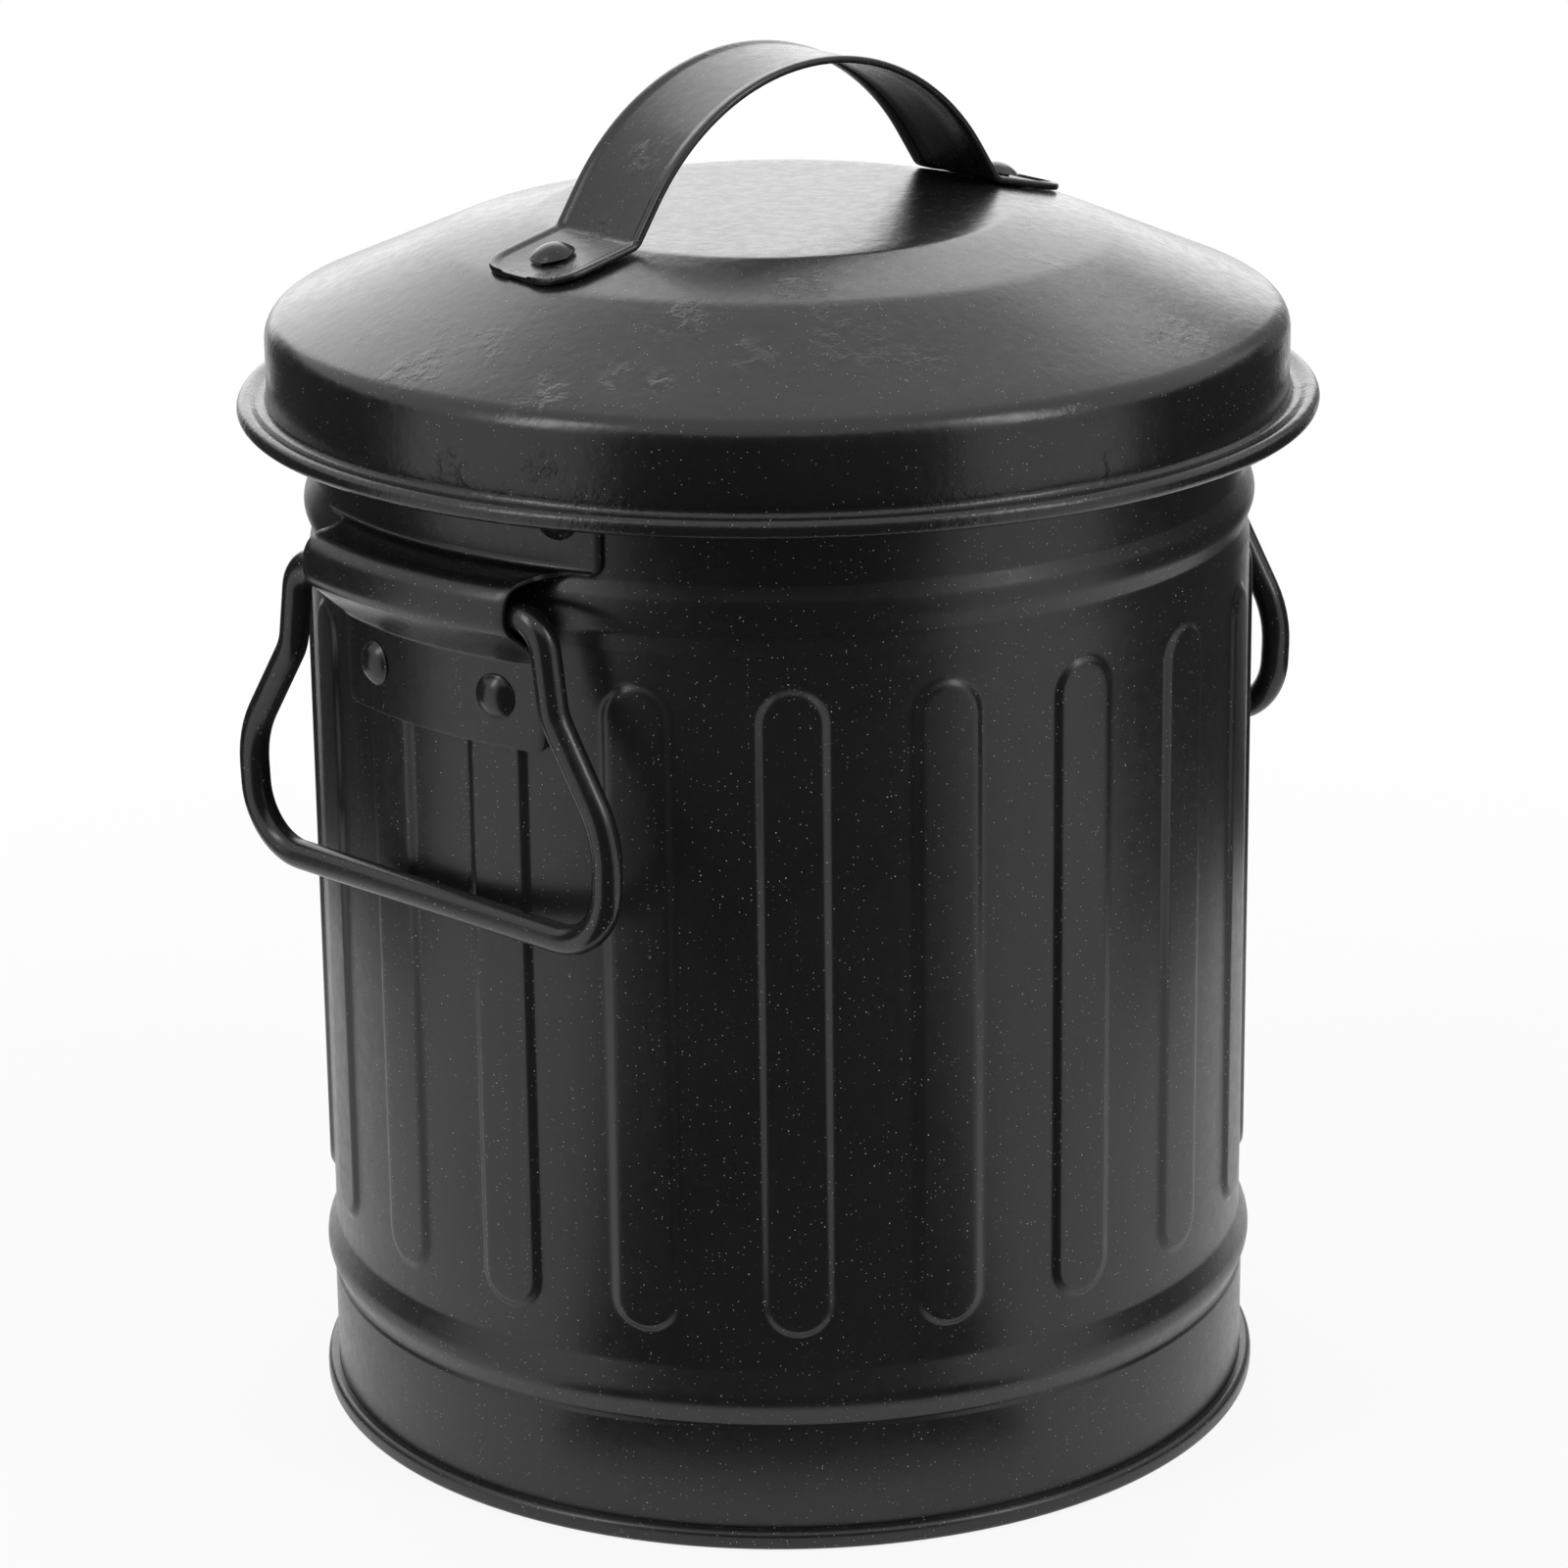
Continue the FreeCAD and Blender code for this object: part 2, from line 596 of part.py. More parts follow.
def make_bracket(side, turn):
    """One side handle bracket, cut from a bent sheet wrapped on the can."""
    face = lower_tab_face
    nose = S["wall_radius"] + S["ear_nose_out"]
    bend = S["ear_fold_round"]
    name = "ear_" + side
    path = upright_sketch(name + "_path")
    draw_path(path, [
        (upper_tab_face, ear_top),
        (upper_tab_face, ear_fold, bend),
        (nose - S["ear_brow_in"], ear_fold - S["ear_brow_drop"], S["ear_nose_round"]),
        (nose, ear_fold - S["ear_nose_drop"], S["ear_nose_round"]),
        (face, ear_crease, bend),
        (face, ear_bottom),
    ])
    bent = spun(name + "_bent", strip(name + "_strip", path, -S["ear_sheet"]), S["ear_sweep"])
    outline = side_sketch(name + "_outline")
    upper, tunnel, lower = S["ear_upper_half"], S["ear_tunnel_half"], S["ear_lower_half"]
    ledge = ear_fold + S["ear_lip"]
    right = [
        (lower, ear_bottom, S["ear_tab_corner"]),
        (tunnel, ear_crease),
        (tunnel, ledge, S["ear_corner"]),
        (upper, ledge, S["ear_tab_corner"]),
        (upper, ear_top, S["ear_tab_corner"]),
    ]
    left = [(-corner[0],) + corner[1:] for corner in reversed(right)]
    draw_path(outline, right + left, closed=True)
    blank = pushed(name + "_blank", outline, Vector(1, 0, 0), nose * 2)
    cut = shared(name + "_cut", bent, blank)
    bracket = less("handle_bracket_" + side, cut, *rivet_holes(name + "_hole", nose / 2, (0,)))
    bracket.Placement = Placement(Vector(0, 0, 0), Rotation(Vector(0, 0, 1), turn))
    return bracket


def make_rivet(name, head, dome, grip, place):
    """A rivet along Z: the head's seat is at z = 0, the closed end below the grip."""
    body = DOC.addObject("PartDesign::Body", name)
    sketch = body.newObject("Sketcher::SketchObject", name + "_half")
    sketch.AttachmentSupport = [(origin_part(body, "XZ_Plane"), "")]
    sketch.MapMode = "FlatFace"
    shank = S["rivet_shank"]
    tail = S["rivet_tail"]
    foot = -(grip + S["rivet_tail_high"])
    crown_radius = (head * head + dome * dome) / (dome * 2)
    corners = [
        (ZERO, foot),
        (tail, foot, S["tail_round"]),
        (tail, -grip),
        (shank, -grip),
        (shank, ZERO),
        (head, ZERO),
    ]
    line = draw_path(sketch, corners)
    centre = Vector(0, dome.value - crown_radius.value, 0)
    start = math.atan2(-centre.y, head.value)
    crown = sketch.addGeometry(Part.ArcOfCircle(
        Part.Circle(centre, Vector(0, 0, 1), crown_radius.value), start, math.pi / 2), False)
    axis = sketch.addGeometry(
        Part.LineSegment(Vector(0, dome.value, 0), Vector(0, foot.value, 0)), False)
    sketch.addConstraint(Sketcher.Constraint("Coincident", line, 2, crown, 1))
    sketch.addConstraint(Sketcher.Constraint("PointOnObject", crown, 3, -2))
    sketch.addConstraint(Sketcher.Constraint("Coincident", crown, 2, axis, 1))
    sketch.addConstraint(Sketcher.Constraint("Coincident", axis, 2, 0, 1))
    pin_point(sketch, axis, 1, (ZERO, dome))
    turned = body.newObject("PartDesign::Revolution", name + "_turned")
    turned.Profile = sketch
    turned.ReferenceAxis = (sketch, ["V_Axis"])
    turned.Angle = 360
    body.Placement = place
    return body


def make_bracket_rivets(side, turn):
    """The four rivets of one bracket, each lying along a radius of the can."""
    rivets = []
    gap = S["seat_gap"]
    for word, angle, height, seat, wall in rivet_places():
        heading = Rotation(Vector(0, 0, 1), turn + angle.value)
        lying = heading * Rotation(Vector(0, 1, 0), 90)
        base = heading.multVec(Vector(seat.value + gap.value, 0, height.value))
        name = f"bracket_rivet_{word}_{side}"
        grip = seat + gap - (chord_height(wall, S["rivet_tail"]) - gap)
        rivets.append(make_rivet(
            name, S["tab_rivet_head"], S["tab_rivet_dome"], grip, Placement(base, lying)))
    return rivets


# ---------------------------------------------------------------- bails

def make_bail(side, turn):
    """One side bail: round wire bent into a loop that is open at the top, with inturned pins."""
    body = DOC.addObject("PartDesign::Body", "bail_" + side)
    spine = body.newObject("Sketcher::SketchObject", "bail_path_" + side)
    spine.AttachmentSupport = [(origin_part(body, "YZ_Plane"), "")]
    spine.MapMode = "FlatFace"
    bind(spine, ".AttachmentOffset.Base.z", pin_x)
    right = [
        (S["pin_reach"], pin_z),
        (S["bail_top_half"], pin_z, S["bail_top_round"]),
        (S["bail_knee_half"], pin_z - S["bail_knee_drop"], S["bail_knee_round"]),
        (S["bail_wide_half"], pin_z - S["bail_wide_drop"], S["bail_wide_round"]),
        (S["bail_foot_half"], pin_z - S["bail_foot_drop"], S["bail_foot_round"]),
    ]
    left = [(-corner[0],) + corner[1:] for corner in reversed(right)]
    draw_path(spine, right + left)
    section = body.newObject("Sketcher::SketchObject", "bail_section_" + side)
    section.AttachmentSupport = [(origin_part(body, "XZ_Plane"), "")]
    section.MapMode = "FlatFace"
    bind(section, ".AttachmentOffset.Base.z", -S["pin_reach"])
    circle = section.addGeometry(Part.Circle(
        Vector(pin_x.value, pin_z.value, 0), Vector(0, 0, 1), S["wire_radius"].value), False)
    set_datum(section, "Radius", (circle,), S["wire_radius"])
    pin_point(section, circle, 3, (pin_x, pin_z))
    wire = body.newObject("PartDesign::AdditivePipe", "bail_wire_" + side)
    wire.Profile = section
    wire.Spine = (spine, [])
    body.Placement = Placement(Vector(0, 0, 0), Rotation(Vector(0, 0, 1), turn))
    return body


# ---------------------------------------------------------------- lid

def lid_turn():
    """The lid's turn on the can."""
    return Rotation(Vector(0, 0, 1), S["lid_turn"].value)


def make_lid_shell():
    """The lid: flat top, sloping ring, cone, shoulder, skirt, gutter and rolled edge."""
    join = (skirt_radius + S["lid_edge_run"], gutter_z + S["lid_edge_run"] * tangent(S["lid_edge_slope"]))
    edge = S["lid_edge_radius"]
    sketch = upright_sketch("lid_path")
    line = draw_path(sketch, [
        (ZERO, lid_top),
        (S["lid_flat_radius"], lid_top, S["lid_flat_round"]),
        (S["lid_ring_radius"], ring_z, S["lid_ring_round"]),
        (skirt_radius, shoulder_z, S["lid_shoulder_round"]),
        (skirt_radius, gutter_z, S["lid_gutter_round"]),
        join,
    ])
    centre_x = join[0] + edge * sine(S["lid_edge_slope"])
    draw_curl(sketch, line, join, edge, centre_x - edge * 0.4)
    shell = spun("lid_spun", strip("lid_strip", sketch, -S["lid_sheet"]))
    return less("lid_shell", shell, *strap_holes("lid_hole"))


def strap_rivet_place(sign):
    """Where a strap rivet's seat is and how it leans: square to the lid's sloping ring."""
    out = S["lid_rivet_out"]
    seat = (S["strap_sheet"] * 2 + S["seat_gap"] * 2) / ring_cos
    lean = Rotation(Vector(0, 1, 0), sign * S["lid_ring_slope"].value)
    base = Vector(sign * out.value, S["strap_off"].value, (ring_height(out) + seat).value)
    return Placement(lid_turn().multVec(base), lid_turn() * lean)


def strap_holes(name):
    """The holes of the two strap rivets."""
    holes = []
    for word, sign in (("left", -1), ("right", 1)):
        hole = DOC.addObject("Part::Cylinder", f"{name}_{word}")
        bind(hole, "Radius", S["rivet_shank"] + S["seat_gap"])
        bind(hole, "Height", S["strap_width"])
        middle = Placement(Vector(0, 0, -S["strap_width"].value / 2), Rotation())
        hole.Placement = strap_rivet_place(sign) * middle
        holes.append(hole)
    return holes


def make_strap():
    """The lid strap: a bent strip with folded-under edges, trimmed to rounded feet."""
    bend = S["strap_bend"]
    tip = S["strap_tip"]
    rise = (S["strap_sheet"] * 2 + S["seat_gap"]) / ring_cos
    bend_z = ring_height(bend) + rise
    tip_z = ring_height(tip) + rise
    peak = bend_z + bend * tangent(S["strap_slope"])
    path = upright_sketch("strap_path")
    draw_path(path, [
        (-tip, tip_z),
        (-bend, bend_z, S["strap_bend_round"]),
        (ZERO, peak, S["strap_arch"]),
        (bend, bend_z, S["strap_bend_round"]),
        (tip, tip_z),
    ])
    half = S["strap_width"] / 2
    web = pushed("strap_web", strip("strap_web_strip", path, -S["strap_sheet"]),
                 Vector(0, 1, 0), half, half)
    folded = strip("strap_hem_strip", path, -(S["strap_sheet"] * 2))
    front = pushed("strap_hem_front", folded, Vector(0, -1, 0), half, S["strap_hem"] - half)
    back = pushed("strap_hem_back", folded, Vector(0, 1, 0), half, S["strap_hem"] - half)
    outline = DOC.addObject("Sketcher::SketchObject", "strap_outline")
    round_tip = S["strap_tip_round"]
    draw_path(outline, [
        (tip, -half, round_tip), (tip, half, round_tip),
        (-tip, half, round_tip), (-tip, -half, round_tip),
    ], closed=True)
    blank = pushed("strap_blank", outline, Vector(0, 0, 1), peak)
    strap = shared("strap_trimmed", joined("strap_folded", web, front, back), blank)
    strap.Placement = Placement(lid_turn().multVec(Vector(0, S["strap_off"].value, 0)), lid_turn())
    return less("lid_handle", strap, *strap_holes("strap_hole"))


def make_lid_rivets():
    """The two strap rivets, square to the lid's sloping ring."""
    rivets = []
    grip = S["strap_sheet"] * 2 + S["lid_sheet"] + S["seat_gap"] * 3
    for word, sign in (("left", -1), ("right", 1)):
        rivets.append(make_rivet(
            "lid_rivet_" + word, S["lid_rivet_head"], S["lid_rivet_dome"], grip,
            strap_rivet_place(sign)))
    return rivets


# ---------------------------------------------------------------- build and write

def build():
    """Make every piece and return the objects to write."""
    pieces = [make_can_body(), make_can_base()]
    for side, turn in (("right", 0), ("left", 180)):
        pieces.append(make_bracket(side, turn))
        pieces.append(make_bail(side, turn))
        pieces.extend(make_bracket_rivets(side, turn))
    pieces += [make_lid_shell(), make_strap()]
    pieces += make_lid_rivets()
    DOC.recompute()
    return pieces


def check(pieces):
    """Stop if any object failed or any piece is not one valid solid."""
    for item in DOC.Objects:
        if "Invalid" in item.State or "Error" in item.State:
            raise RuntimeError(f"{item.Name} failed: {item.State}")
    for piece in pieces:
        shape = piece.Shape
        if shape.isNull() or not shape.isValid() or len(shape.Solids) != 1:
            raise RuntimeError(f"{piece.Label} is not one valid solid")


def write(pieces):
    """Write each piece to its own file."""
    os.makedirs("parts", exist_ok=True)
    for piece in pieces:
        piece.Label = piece.Name
        piece.Shape.exportStep(f"parts/{piece.Label}.step")
        print(f"{piece.Label}: {piece.Shape.Volume:.1f} mm3")


PIECES = build()
check(PIECES)
write(PIECES)
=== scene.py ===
"""A small black powder-coated trash can with a lid, in a plain white studio.

The pieces are modelled as they are made: sheets are laid out flat or as a profile, then bent,
rolled or spun, and get their thickness last. Sizes are in millimetres until a mesh is placed,
and the scene is in metres. +Z is up and the two side handles are on -X and +X.
"""
import logging
import math
from dataclasses import dataclass, field
from enum import Enum
from functools import partial
from typing import Callable, Sequence

import bmesh
import bpy
from bpy.types import Material, Node, Object, World
from mathutils import Matrix, Vector


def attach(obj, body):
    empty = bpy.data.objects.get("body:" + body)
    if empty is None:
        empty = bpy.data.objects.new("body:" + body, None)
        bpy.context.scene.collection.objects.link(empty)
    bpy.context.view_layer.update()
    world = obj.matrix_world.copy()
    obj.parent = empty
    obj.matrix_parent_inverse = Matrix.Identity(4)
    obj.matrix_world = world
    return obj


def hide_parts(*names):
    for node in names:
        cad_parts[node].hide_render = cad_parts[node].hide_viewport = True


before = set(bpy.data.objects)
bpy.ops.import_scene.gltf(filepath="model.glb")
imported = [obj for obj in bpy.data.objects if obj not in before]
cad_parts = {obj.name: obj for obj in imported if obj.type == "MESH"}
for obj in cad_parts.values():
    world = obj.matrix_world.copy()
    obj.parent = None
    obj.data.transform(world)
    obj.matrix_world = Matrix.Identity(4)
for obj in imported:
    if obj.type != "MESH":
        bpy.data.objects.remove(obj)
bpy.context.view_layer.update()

LOG = logging.getLogger("trash_can")
MM = 0.001


class Side(Enum):
    """A side of the can with a handle, and how far it is turned from +X in degrees."""

    RIGHT = ("right", 0.0)
    LEFT = ("left", 180.0)

    @property
    def word(self) -> str:
        """The side's word in the names of its pieces."""
        return self.value[0]

    @property
    def matrix(self) -> Matrix:
        """The turn about Z that takes a piece from +X to the side."""
        return Matrix.Rotation(math.radians(self.value[1]), 4, "Z")


# ---------------------------------------------------------------- paths


@dataclass(frozen=True)
class Corner:
    """A corner of a path in a plane, with the radius that rounds it."""

    across: float
    up: float
    radius: float = 0.0

    @property
    def point(self) -> Vector:
        """The sharp corner as a vector."""
        return Vector((self.across, self.up))


@dataclass(frozen=True)
class Span:
    """A stretch of a path: where it begins, its length, start and direction, and its bend."""

    begins: float
    size: float
    start: Vector
    along: Vector
    bend: float = 0.0


@dataclass
class BentPath:
    """A path of straight runs and tangent arcs, walked by its length.

    Args:
        corners: the sharp corners, each with the radius that rounds it.
    """

    corners: Sequence[Corner]
    spans: list[Span] = field(default_factory=list, init=False)
    length: float = field(default=0.0, init=False)

    def __post_init__(self) -> None:
        """Split the path into its straight and round spans."""
        here = self.corners[0].point
        for before, corner, after in zip(self.corners, self.corners[1:], self.corners[2:]):
            into = (corner.point - before.point).normalized()
            out = (after.point - corner.point).normalized()
            turn = math.atan2(into.x * out.y - into.y * out.x, into.dot(out))
            reach = corner.radius * math.tan(abs(turn) / 2)
            self._add_run(here, corner.point - into * reach)
            if corner.radius > 0 and abs(turn) > 1e-6:
                self._add_arc(corner.point - into * reach, into, corner.radius, turn)
            here = corner.point + out * reach
        self._add_run(here, self.corners[-1].point)

    def _add_run(self, start: Vector, end: Vector) -> None:
        """Add a straight span."""
        size = (end - start).length
        if size > 1e-7:
            self.spans.append(Span(self.length, size, start, (end - start).normalized()))
            self.length += size

    def _add_arc(self, start: Vector, along: Vector, radius: float, turn: float) -> None:
        """Add a round span that turns the path by an angle, positive to its left."""
        size = radius * abs(turn)
        bend = math.copysign(1 / radius, turn)
        self.spans.append(Span(self.length, size, start, along, bend))
        self.length += size

    def curl(self, radius: float, turn: float) -> None:
        """Roll the path on from its end.

        Args:
            radius: the roll's radius.
            turn: how far it rolls in degrees, positive to the left.
        """
        end, along = self.at(self.length)
        self._add_arc(end, along, radius, math.radians(turn))

    def at(self, distance: float) -> tuple[Vector, Vector]:
        """Walk along the path.

        Args:
            distance: how far from the path's start.

        Returns:
            The point there and the direction of the path there.
        """
        span = next((span for span in self.spans if distance <= span.begins + span.size + 1e-9),
                    self.spans[-1])
        gone = distance - span.begins
        along = span.along
        if span.bend == 0.0:
            return span.start + along * gone, along
        left = Vector((-along.y, along.x))
        angle = gone * span.bend
        away = along * math.sin(angle) + left * (1 - math.cos(angle))
        return span.start + away / span.bend, along * math.cos(angle) + left * math.sin(angle)

    def stations(self, arc_step: float, run_step: float) -> list[float]:
        """Choose distances along the path that follow its shape.

        Args:
            arc_step: the most that the path turns between two stations, in degrees.
            run_step: the longest step along a straight span.

        Returns:
            The distances, from the path's start to its end.
        """
        marks = [0.0]
        for span in self.spans:
            count = math.ceil(span.size / run_step)
            if span.bend != 0.0:
                turn = math.degrees(span.size * abs(span.bend))
                count = max(2, math.ceil(turn / arc_step))
            marks += [span.begins + span.size * step / count for step in range(1, count + 1)]
        return marks


def merged_marks(*groups: Sequence[float], least: float = 0.02) -> list[float]:
    """Merge several lists of distances.

    Args:
        groups: the lists to merge.
        least: marks nearer than this to the one before are left out.

    Returns:
        The distances in rising order.
    """
    marks: list[float] = []
    for mark in sorted(mark for group in groups for mark in group):
        if not marks or mark - marks[-1] > least:
            marks.append(mark)
    return marks


# ---------------------------------------------------------------- the workbench


class Bench:
    """Starts, shapes and finishes one mesh piece with Blender's own modelling tools."""

    def __init__(self, name: str) -> None:
        """Name the piece that is about to be made."""
        self.name = name
        self.piece: Object | None = None

    def _adopt(self) -> None:
        """Name the active piece and open it for editing."""
        self.piece = bpy.context.view_layer.objects.active
        self.piece.name = self.piece.data.name = self.name
        bpy.ops.object.mode_set(mode="EDIT")

    def start_joined(self, parts: Sequence[Object]) -> None:
        """Join sheets to the first of them, weld them and face them away from the can's axis."""
        bpy.ops.object.select_all(action="DESELECT")
        for part in parts:
            part.select_set(True)
        bpy.context.view_layer.objects.active = parts[0]
        bpy.ops.object.join()
        self._adopt()
        self.merge(0.02)
        self.face_out(radially)
        self.close()

    def trace(self, points: Sequence[Vector]) -> None:
        """Start from a point and extrude it along a path of points, in millimetres."""
        bpy.ops.object.select_all(action="DESELECT")
        bpy.ops.mesh.primitive_plane_add(size=MM)
        self._adopt()
        bpy.ops.mesh.merge(type="CENTER")
        bpy.ops.transform.translate(value=points[0] * MM)
        for here, there in zip(points, points[1:]):
            bpy.ops.mesh.extrude_region_move(TRANSFORM_OT_translate={"value": (there - here) * MM})

    def trace_profile(self, path: BentPath, arc_step: float, run_step: float) -> None:
        """Trace a path in the plane of X and Z.

        Args:
            path: the path, across and up in millimetres.
            arc_step: the most that it turns between two points, in degrees.
            run_step: the longest step along a straight span.
        """
        places = [path.at(mark)[0] for mark in path.stations(arc_step, run_step)]
        self.trace([Vector((place.x, 0.0, place.y)) for place in places])

    def loft(self, rings: Sequence[Sequence[Vector]], closed: bool = True) -> None:
        """Extrude a ring of points through others.

        Args:
            rings: the rings' points in millimetres, in the same order in each ring.
            closed: whether both ends are filled.
        """
        bpy.ops.object.select_all(action="DESELECT")
        fill = "NGON" if closed else "NOTHING"
        bpy.ops.mesh.primitive_circle_add(vertices=len(rings[0]), radius=MM, fill_type=fill)
        self._adopt()
        mesh = bmesh.from_edit_mesh(self.piece.data)
        order = mesh.verts.layers.int.new("order")
        for index, vertex in enumerate(mesh.verts):
            vertex[order] = index
            vertex.co = rings[0][index] * MM
        bmesh.update_edit_mesh(self.piece.data)
        for ring in rings[1:]:
            bpy.ops.mesh.extrude_region_move()
            mesh = bmesh.from_edit_mesh(self.piece.data)
            order = mesh.verts.layers.int["order"]
            for vertex in mesh.verts:
                if vertex.select:
                    vertex.co = ring[vertex[order]] * MM
            bmesh.update_edit_mesh(self.piece.data)
        if closed:
            bpy.ops.mesh.edge_face_add()
            bpy.ops.mesh.select_all(action="SELECT")
            bpy.ops.mesh.normals_make_consistent(inside=False)

    def start_grid(self, columns: int, rows: int, place: Callable[[int, int], Vector]) -> None:
        """Start from a flat grid whose points are then set.

        Args:
            columns: points across.
            rows: points up.
            place: gives the place of a column and row, in millimetres.
        """
        bpy.ops.object.select_all(action="DESELECT")
        bpy.ops.mesh.primitive_grid_add(
            x_subdivisions=columns - 1, y_subdivisions=rows - 1, size=1.0)
        self._adopt()
        mesh = bmesh.from_edit_mesh(self.piece.data)
        for vertex in mesh.verts:
            column = round((vertex.co.x + 0.5) * (columns - 1))
            row = round((vertex.co.y + 0.5) * (rows - 1))
            vertex.co = place(column, row) * MM
        bmesh.update_edit_mesh(self.piece.data)

    def spin(self, steps: int, copies: bool = False, angle: float = math.tau) -> None:
        """Spin the whole mesh round Z and weld it, as one surface or as separate copies."""
        bpy.ops.mesh.select_all(action="SELECT")
        bpy.ops.mesh.spin(
            steps=steps, dupli=copies, angle=angle, center=(0.0, 0.0, 0.0), axis=(0.0, 0.0, 1.0))
        self.merge()

    def merge(self, distance: float = 0.003) -> None:
        """Weld points that lie together, within a distance in millimetres."""
        bpy.ops.mesh.select_all(action="SELECT")
        bpy.ops.mesh.remove_doubles(threshold=distance * MM)

    def face_out(self, outward: Callable[[Vector], Vector]) -> None:
        """Turn the faces outwards.

        Args:
            outward: gives the outward direction at a place on the piece.
        """
        bpy.ops.mesh.select_all(action="SELECT")
        bpy.ops.mesh.normals_make_consistent(inside=False)
        mesh = bmesh.from_edit_mesh(self.piece.data)
        vote = sum(
            face.normal.dot(outward(face.calc_center_median())) * face.calc_area()
            for face in mesh.faces)
        if vote < 0:
            bpy.ops.mesh.flip_normals()

    def close(self) -> None:
        """Leave edit mode."""
        bpy.ops.object.mode_set(mode="OBJECT")

    def apply(self, kind: str, **settings: object) -> None:
        """Add a modifier, set it and apply it.

        Args:
            kind: Blender's name for the modifier's type.
            settings: the modifier's own settings.
        """
        bpy.context.view_layer.objects.active = self.piece
        modifier = self.piece.modifiers.new(kind.title(), kind)
        for name, value in settings.items():
            setattr(modifier, name, value)
        bpy.ops.object.modifier_apply(modifier=modifier.name)

    def spun_sheet(self, path: BentPath, steps: tuple[float, float], columns: int, sheet: float,
                   outward: Vector) -> Object:
        """Spin a sheet from its profile and give it its thickness.

        Args:
            path: the profile from the axis outwards.
            steps: the steps of its arcs in degrees and of its straight runs in millimetres.
            columns: points round the axis.
            sheet: the sheet's thickness.
            outward: the direction that most of the profile's surface faces.

        Returns:
            The piece.
        """
        self.trace_profile(path, *steps)
        self.spin(columns)
        self.face_out(lambda place: outward)
        self.close()
        self.thicken(sheet)
        return self.smooth(35.0)

    def thicken(self, sheet: float) -> None:
        """Give the sheet its thickness in millimetres, inwards from the surface that shows."""
        self.apply(
            "SOLIDIFY", thickness=sheet * MM, offset=-1.0, use_even_offset=True, use_rim=True)

    def soften(self, width: float, angle: float) -> None:
        """Round the edges that are sharper than an angle, by a width in millimetres."""
        self.apply(
            "BEVEL", width=width * MM, segments=2, limit_method="ANGLE",
            angle_limit=math.radians(angle), harden_normals=False, use_clamp_overlap=True)

    def smooth(self, angle: float) -> Object:
        """Shade the piece smooth, except at edges sharper than an angle, and hand it over."""
        bpy.ops.object.select_all(action="DESELECT")
        self.piece.select_set(True)
        bpy.context.view_layer.objects.active = self.piece
        bpy.ops.object.shade_smooth_by_angle(angle=math.radians(angle))
        return self.piece


def placed_copies(master: Object, places: dict[str, Matrix]) -> list[Object]:
    """Copy a finished piece, each copy with its own mesh, and clear the first one away.

    Args:
        master: the piece to copy.
        places: the copies' names and how each is turned and moved in its mesh, in metres.

    Returns:
        The copies.
    """
    copies = []
    for name, place in places.items():
        copy = master.copy()
        copy.data = master.data.copy()
        copy.name = copy.data.name = name
        copy.data.transform(place)
        bpy.context.scene.collection.objects.link(copy)
        copies.append(copy)
    bpy.data.meshes.remove(master.data)
    return copies


# ---------------------------------------------------------------- finishes


Colour = tuple[float, float, float]

# The colour sockets of Blender's Mix node.
MIX_FIRST = 6
MIX_SECOND = 7
MIX_RESULT = 2


class NodeTree:
    """Builds one tree of nodes for a material or a world."""

    def __init__(self, owner: Material | World) -> None:
        """Start an empty tree."""
        owner.use_nodes = True
        self.tree = owner.node_tree
        self.tree.nodes.clear()

    def add(self, kind: str, inputs: dict[str | int, object] | None = None,
            **settings: object) -> Node:
        """Add a node.

        Args:
            kind: Blender's name for the node's type.
            inputs: the values of its sockets.
            settings: its own settings.

        Returns:
            The node.
        """
        node = self.tree.nodes.new(kind)
        for name, value in settings.items():
            setattr(node, name, value)
        for socket, value in (inputs or {}).items():
            node.inputs[socket].default_value = value
        return node

    def link(self, source: Node, output: str | int, target: Node, socket: str | int) -> None:
        """Link an output to an input."""
        self.tree.links.new(source.outputs[output], target.inputs[socket])

    def noise(self, scale: float, detail: float, rough: float = 0.5) -> Node:
        """Noise in the object's own space.

        Args:
            scale: cells to a metre.
            detail: octaves of finer noise.
            rough: how strong the finer octaves are.

        Returns:
            The noise node.
        """
        noise = self.add(
            "ShaderNodeTexNoise", {"Scale": scale, "Detail": detail, "Roughness": rough})
        self.link(self.add("ShaderNodeTexCoord"), "Object", noise, "Vector")
        return noise

    def ranged(self, source: Node, low: float, high: float, to_low: float = 0.0,
               to_high: float = 1.0, output: str | int = 0) -> Node:
        """Map a node's output from one range on to another, held at its ends."""
        node = self.add(
            "ShaderNodeMapRange",
            {"From Min": low, "From Max": high, "To Min": to_low, "To Max": to_high},
            clamp=True, interpolation_type="SMOOTHSTEP")
        self.link(source, output, node, "Value")
        return node

    def product(self, *factors: Node) -> Node:
        """Multiply values."""
        return self._combined("MULTIPLY", factors)

    def largest(self, *values: Node) -> Node:
        """The largest of some values."""
        return self._combined("MAXIMUM", values)

    def _combined(self, operation: str, values: Sequence[Node]) -> Node:
        """Combine the first outputs of nodes, one after another."""
        total = values[0]
        for value in values[1:]:
            node = self.add("ShaderNodeMath", operation=operation)
            self.link(total, 0, node, 0)
            self.link(value, 0, node, 1)
            total = node
        return total

    def seen(self) -> Node:
        """One where a ray comes from the camera, a mirror or glass, and none otherwise."""
        path = self.add("ShaderNodeLightPath")
        total = path
        for other in ("Is Glossy Ray", "Is Transmission Ray"):
            node = self.add("ShaderNodeMath", operation="MAXIMUM")
            self.link(total, 0, node, 0)
            self.link(path, other, node, 1)
            total = node
        return total


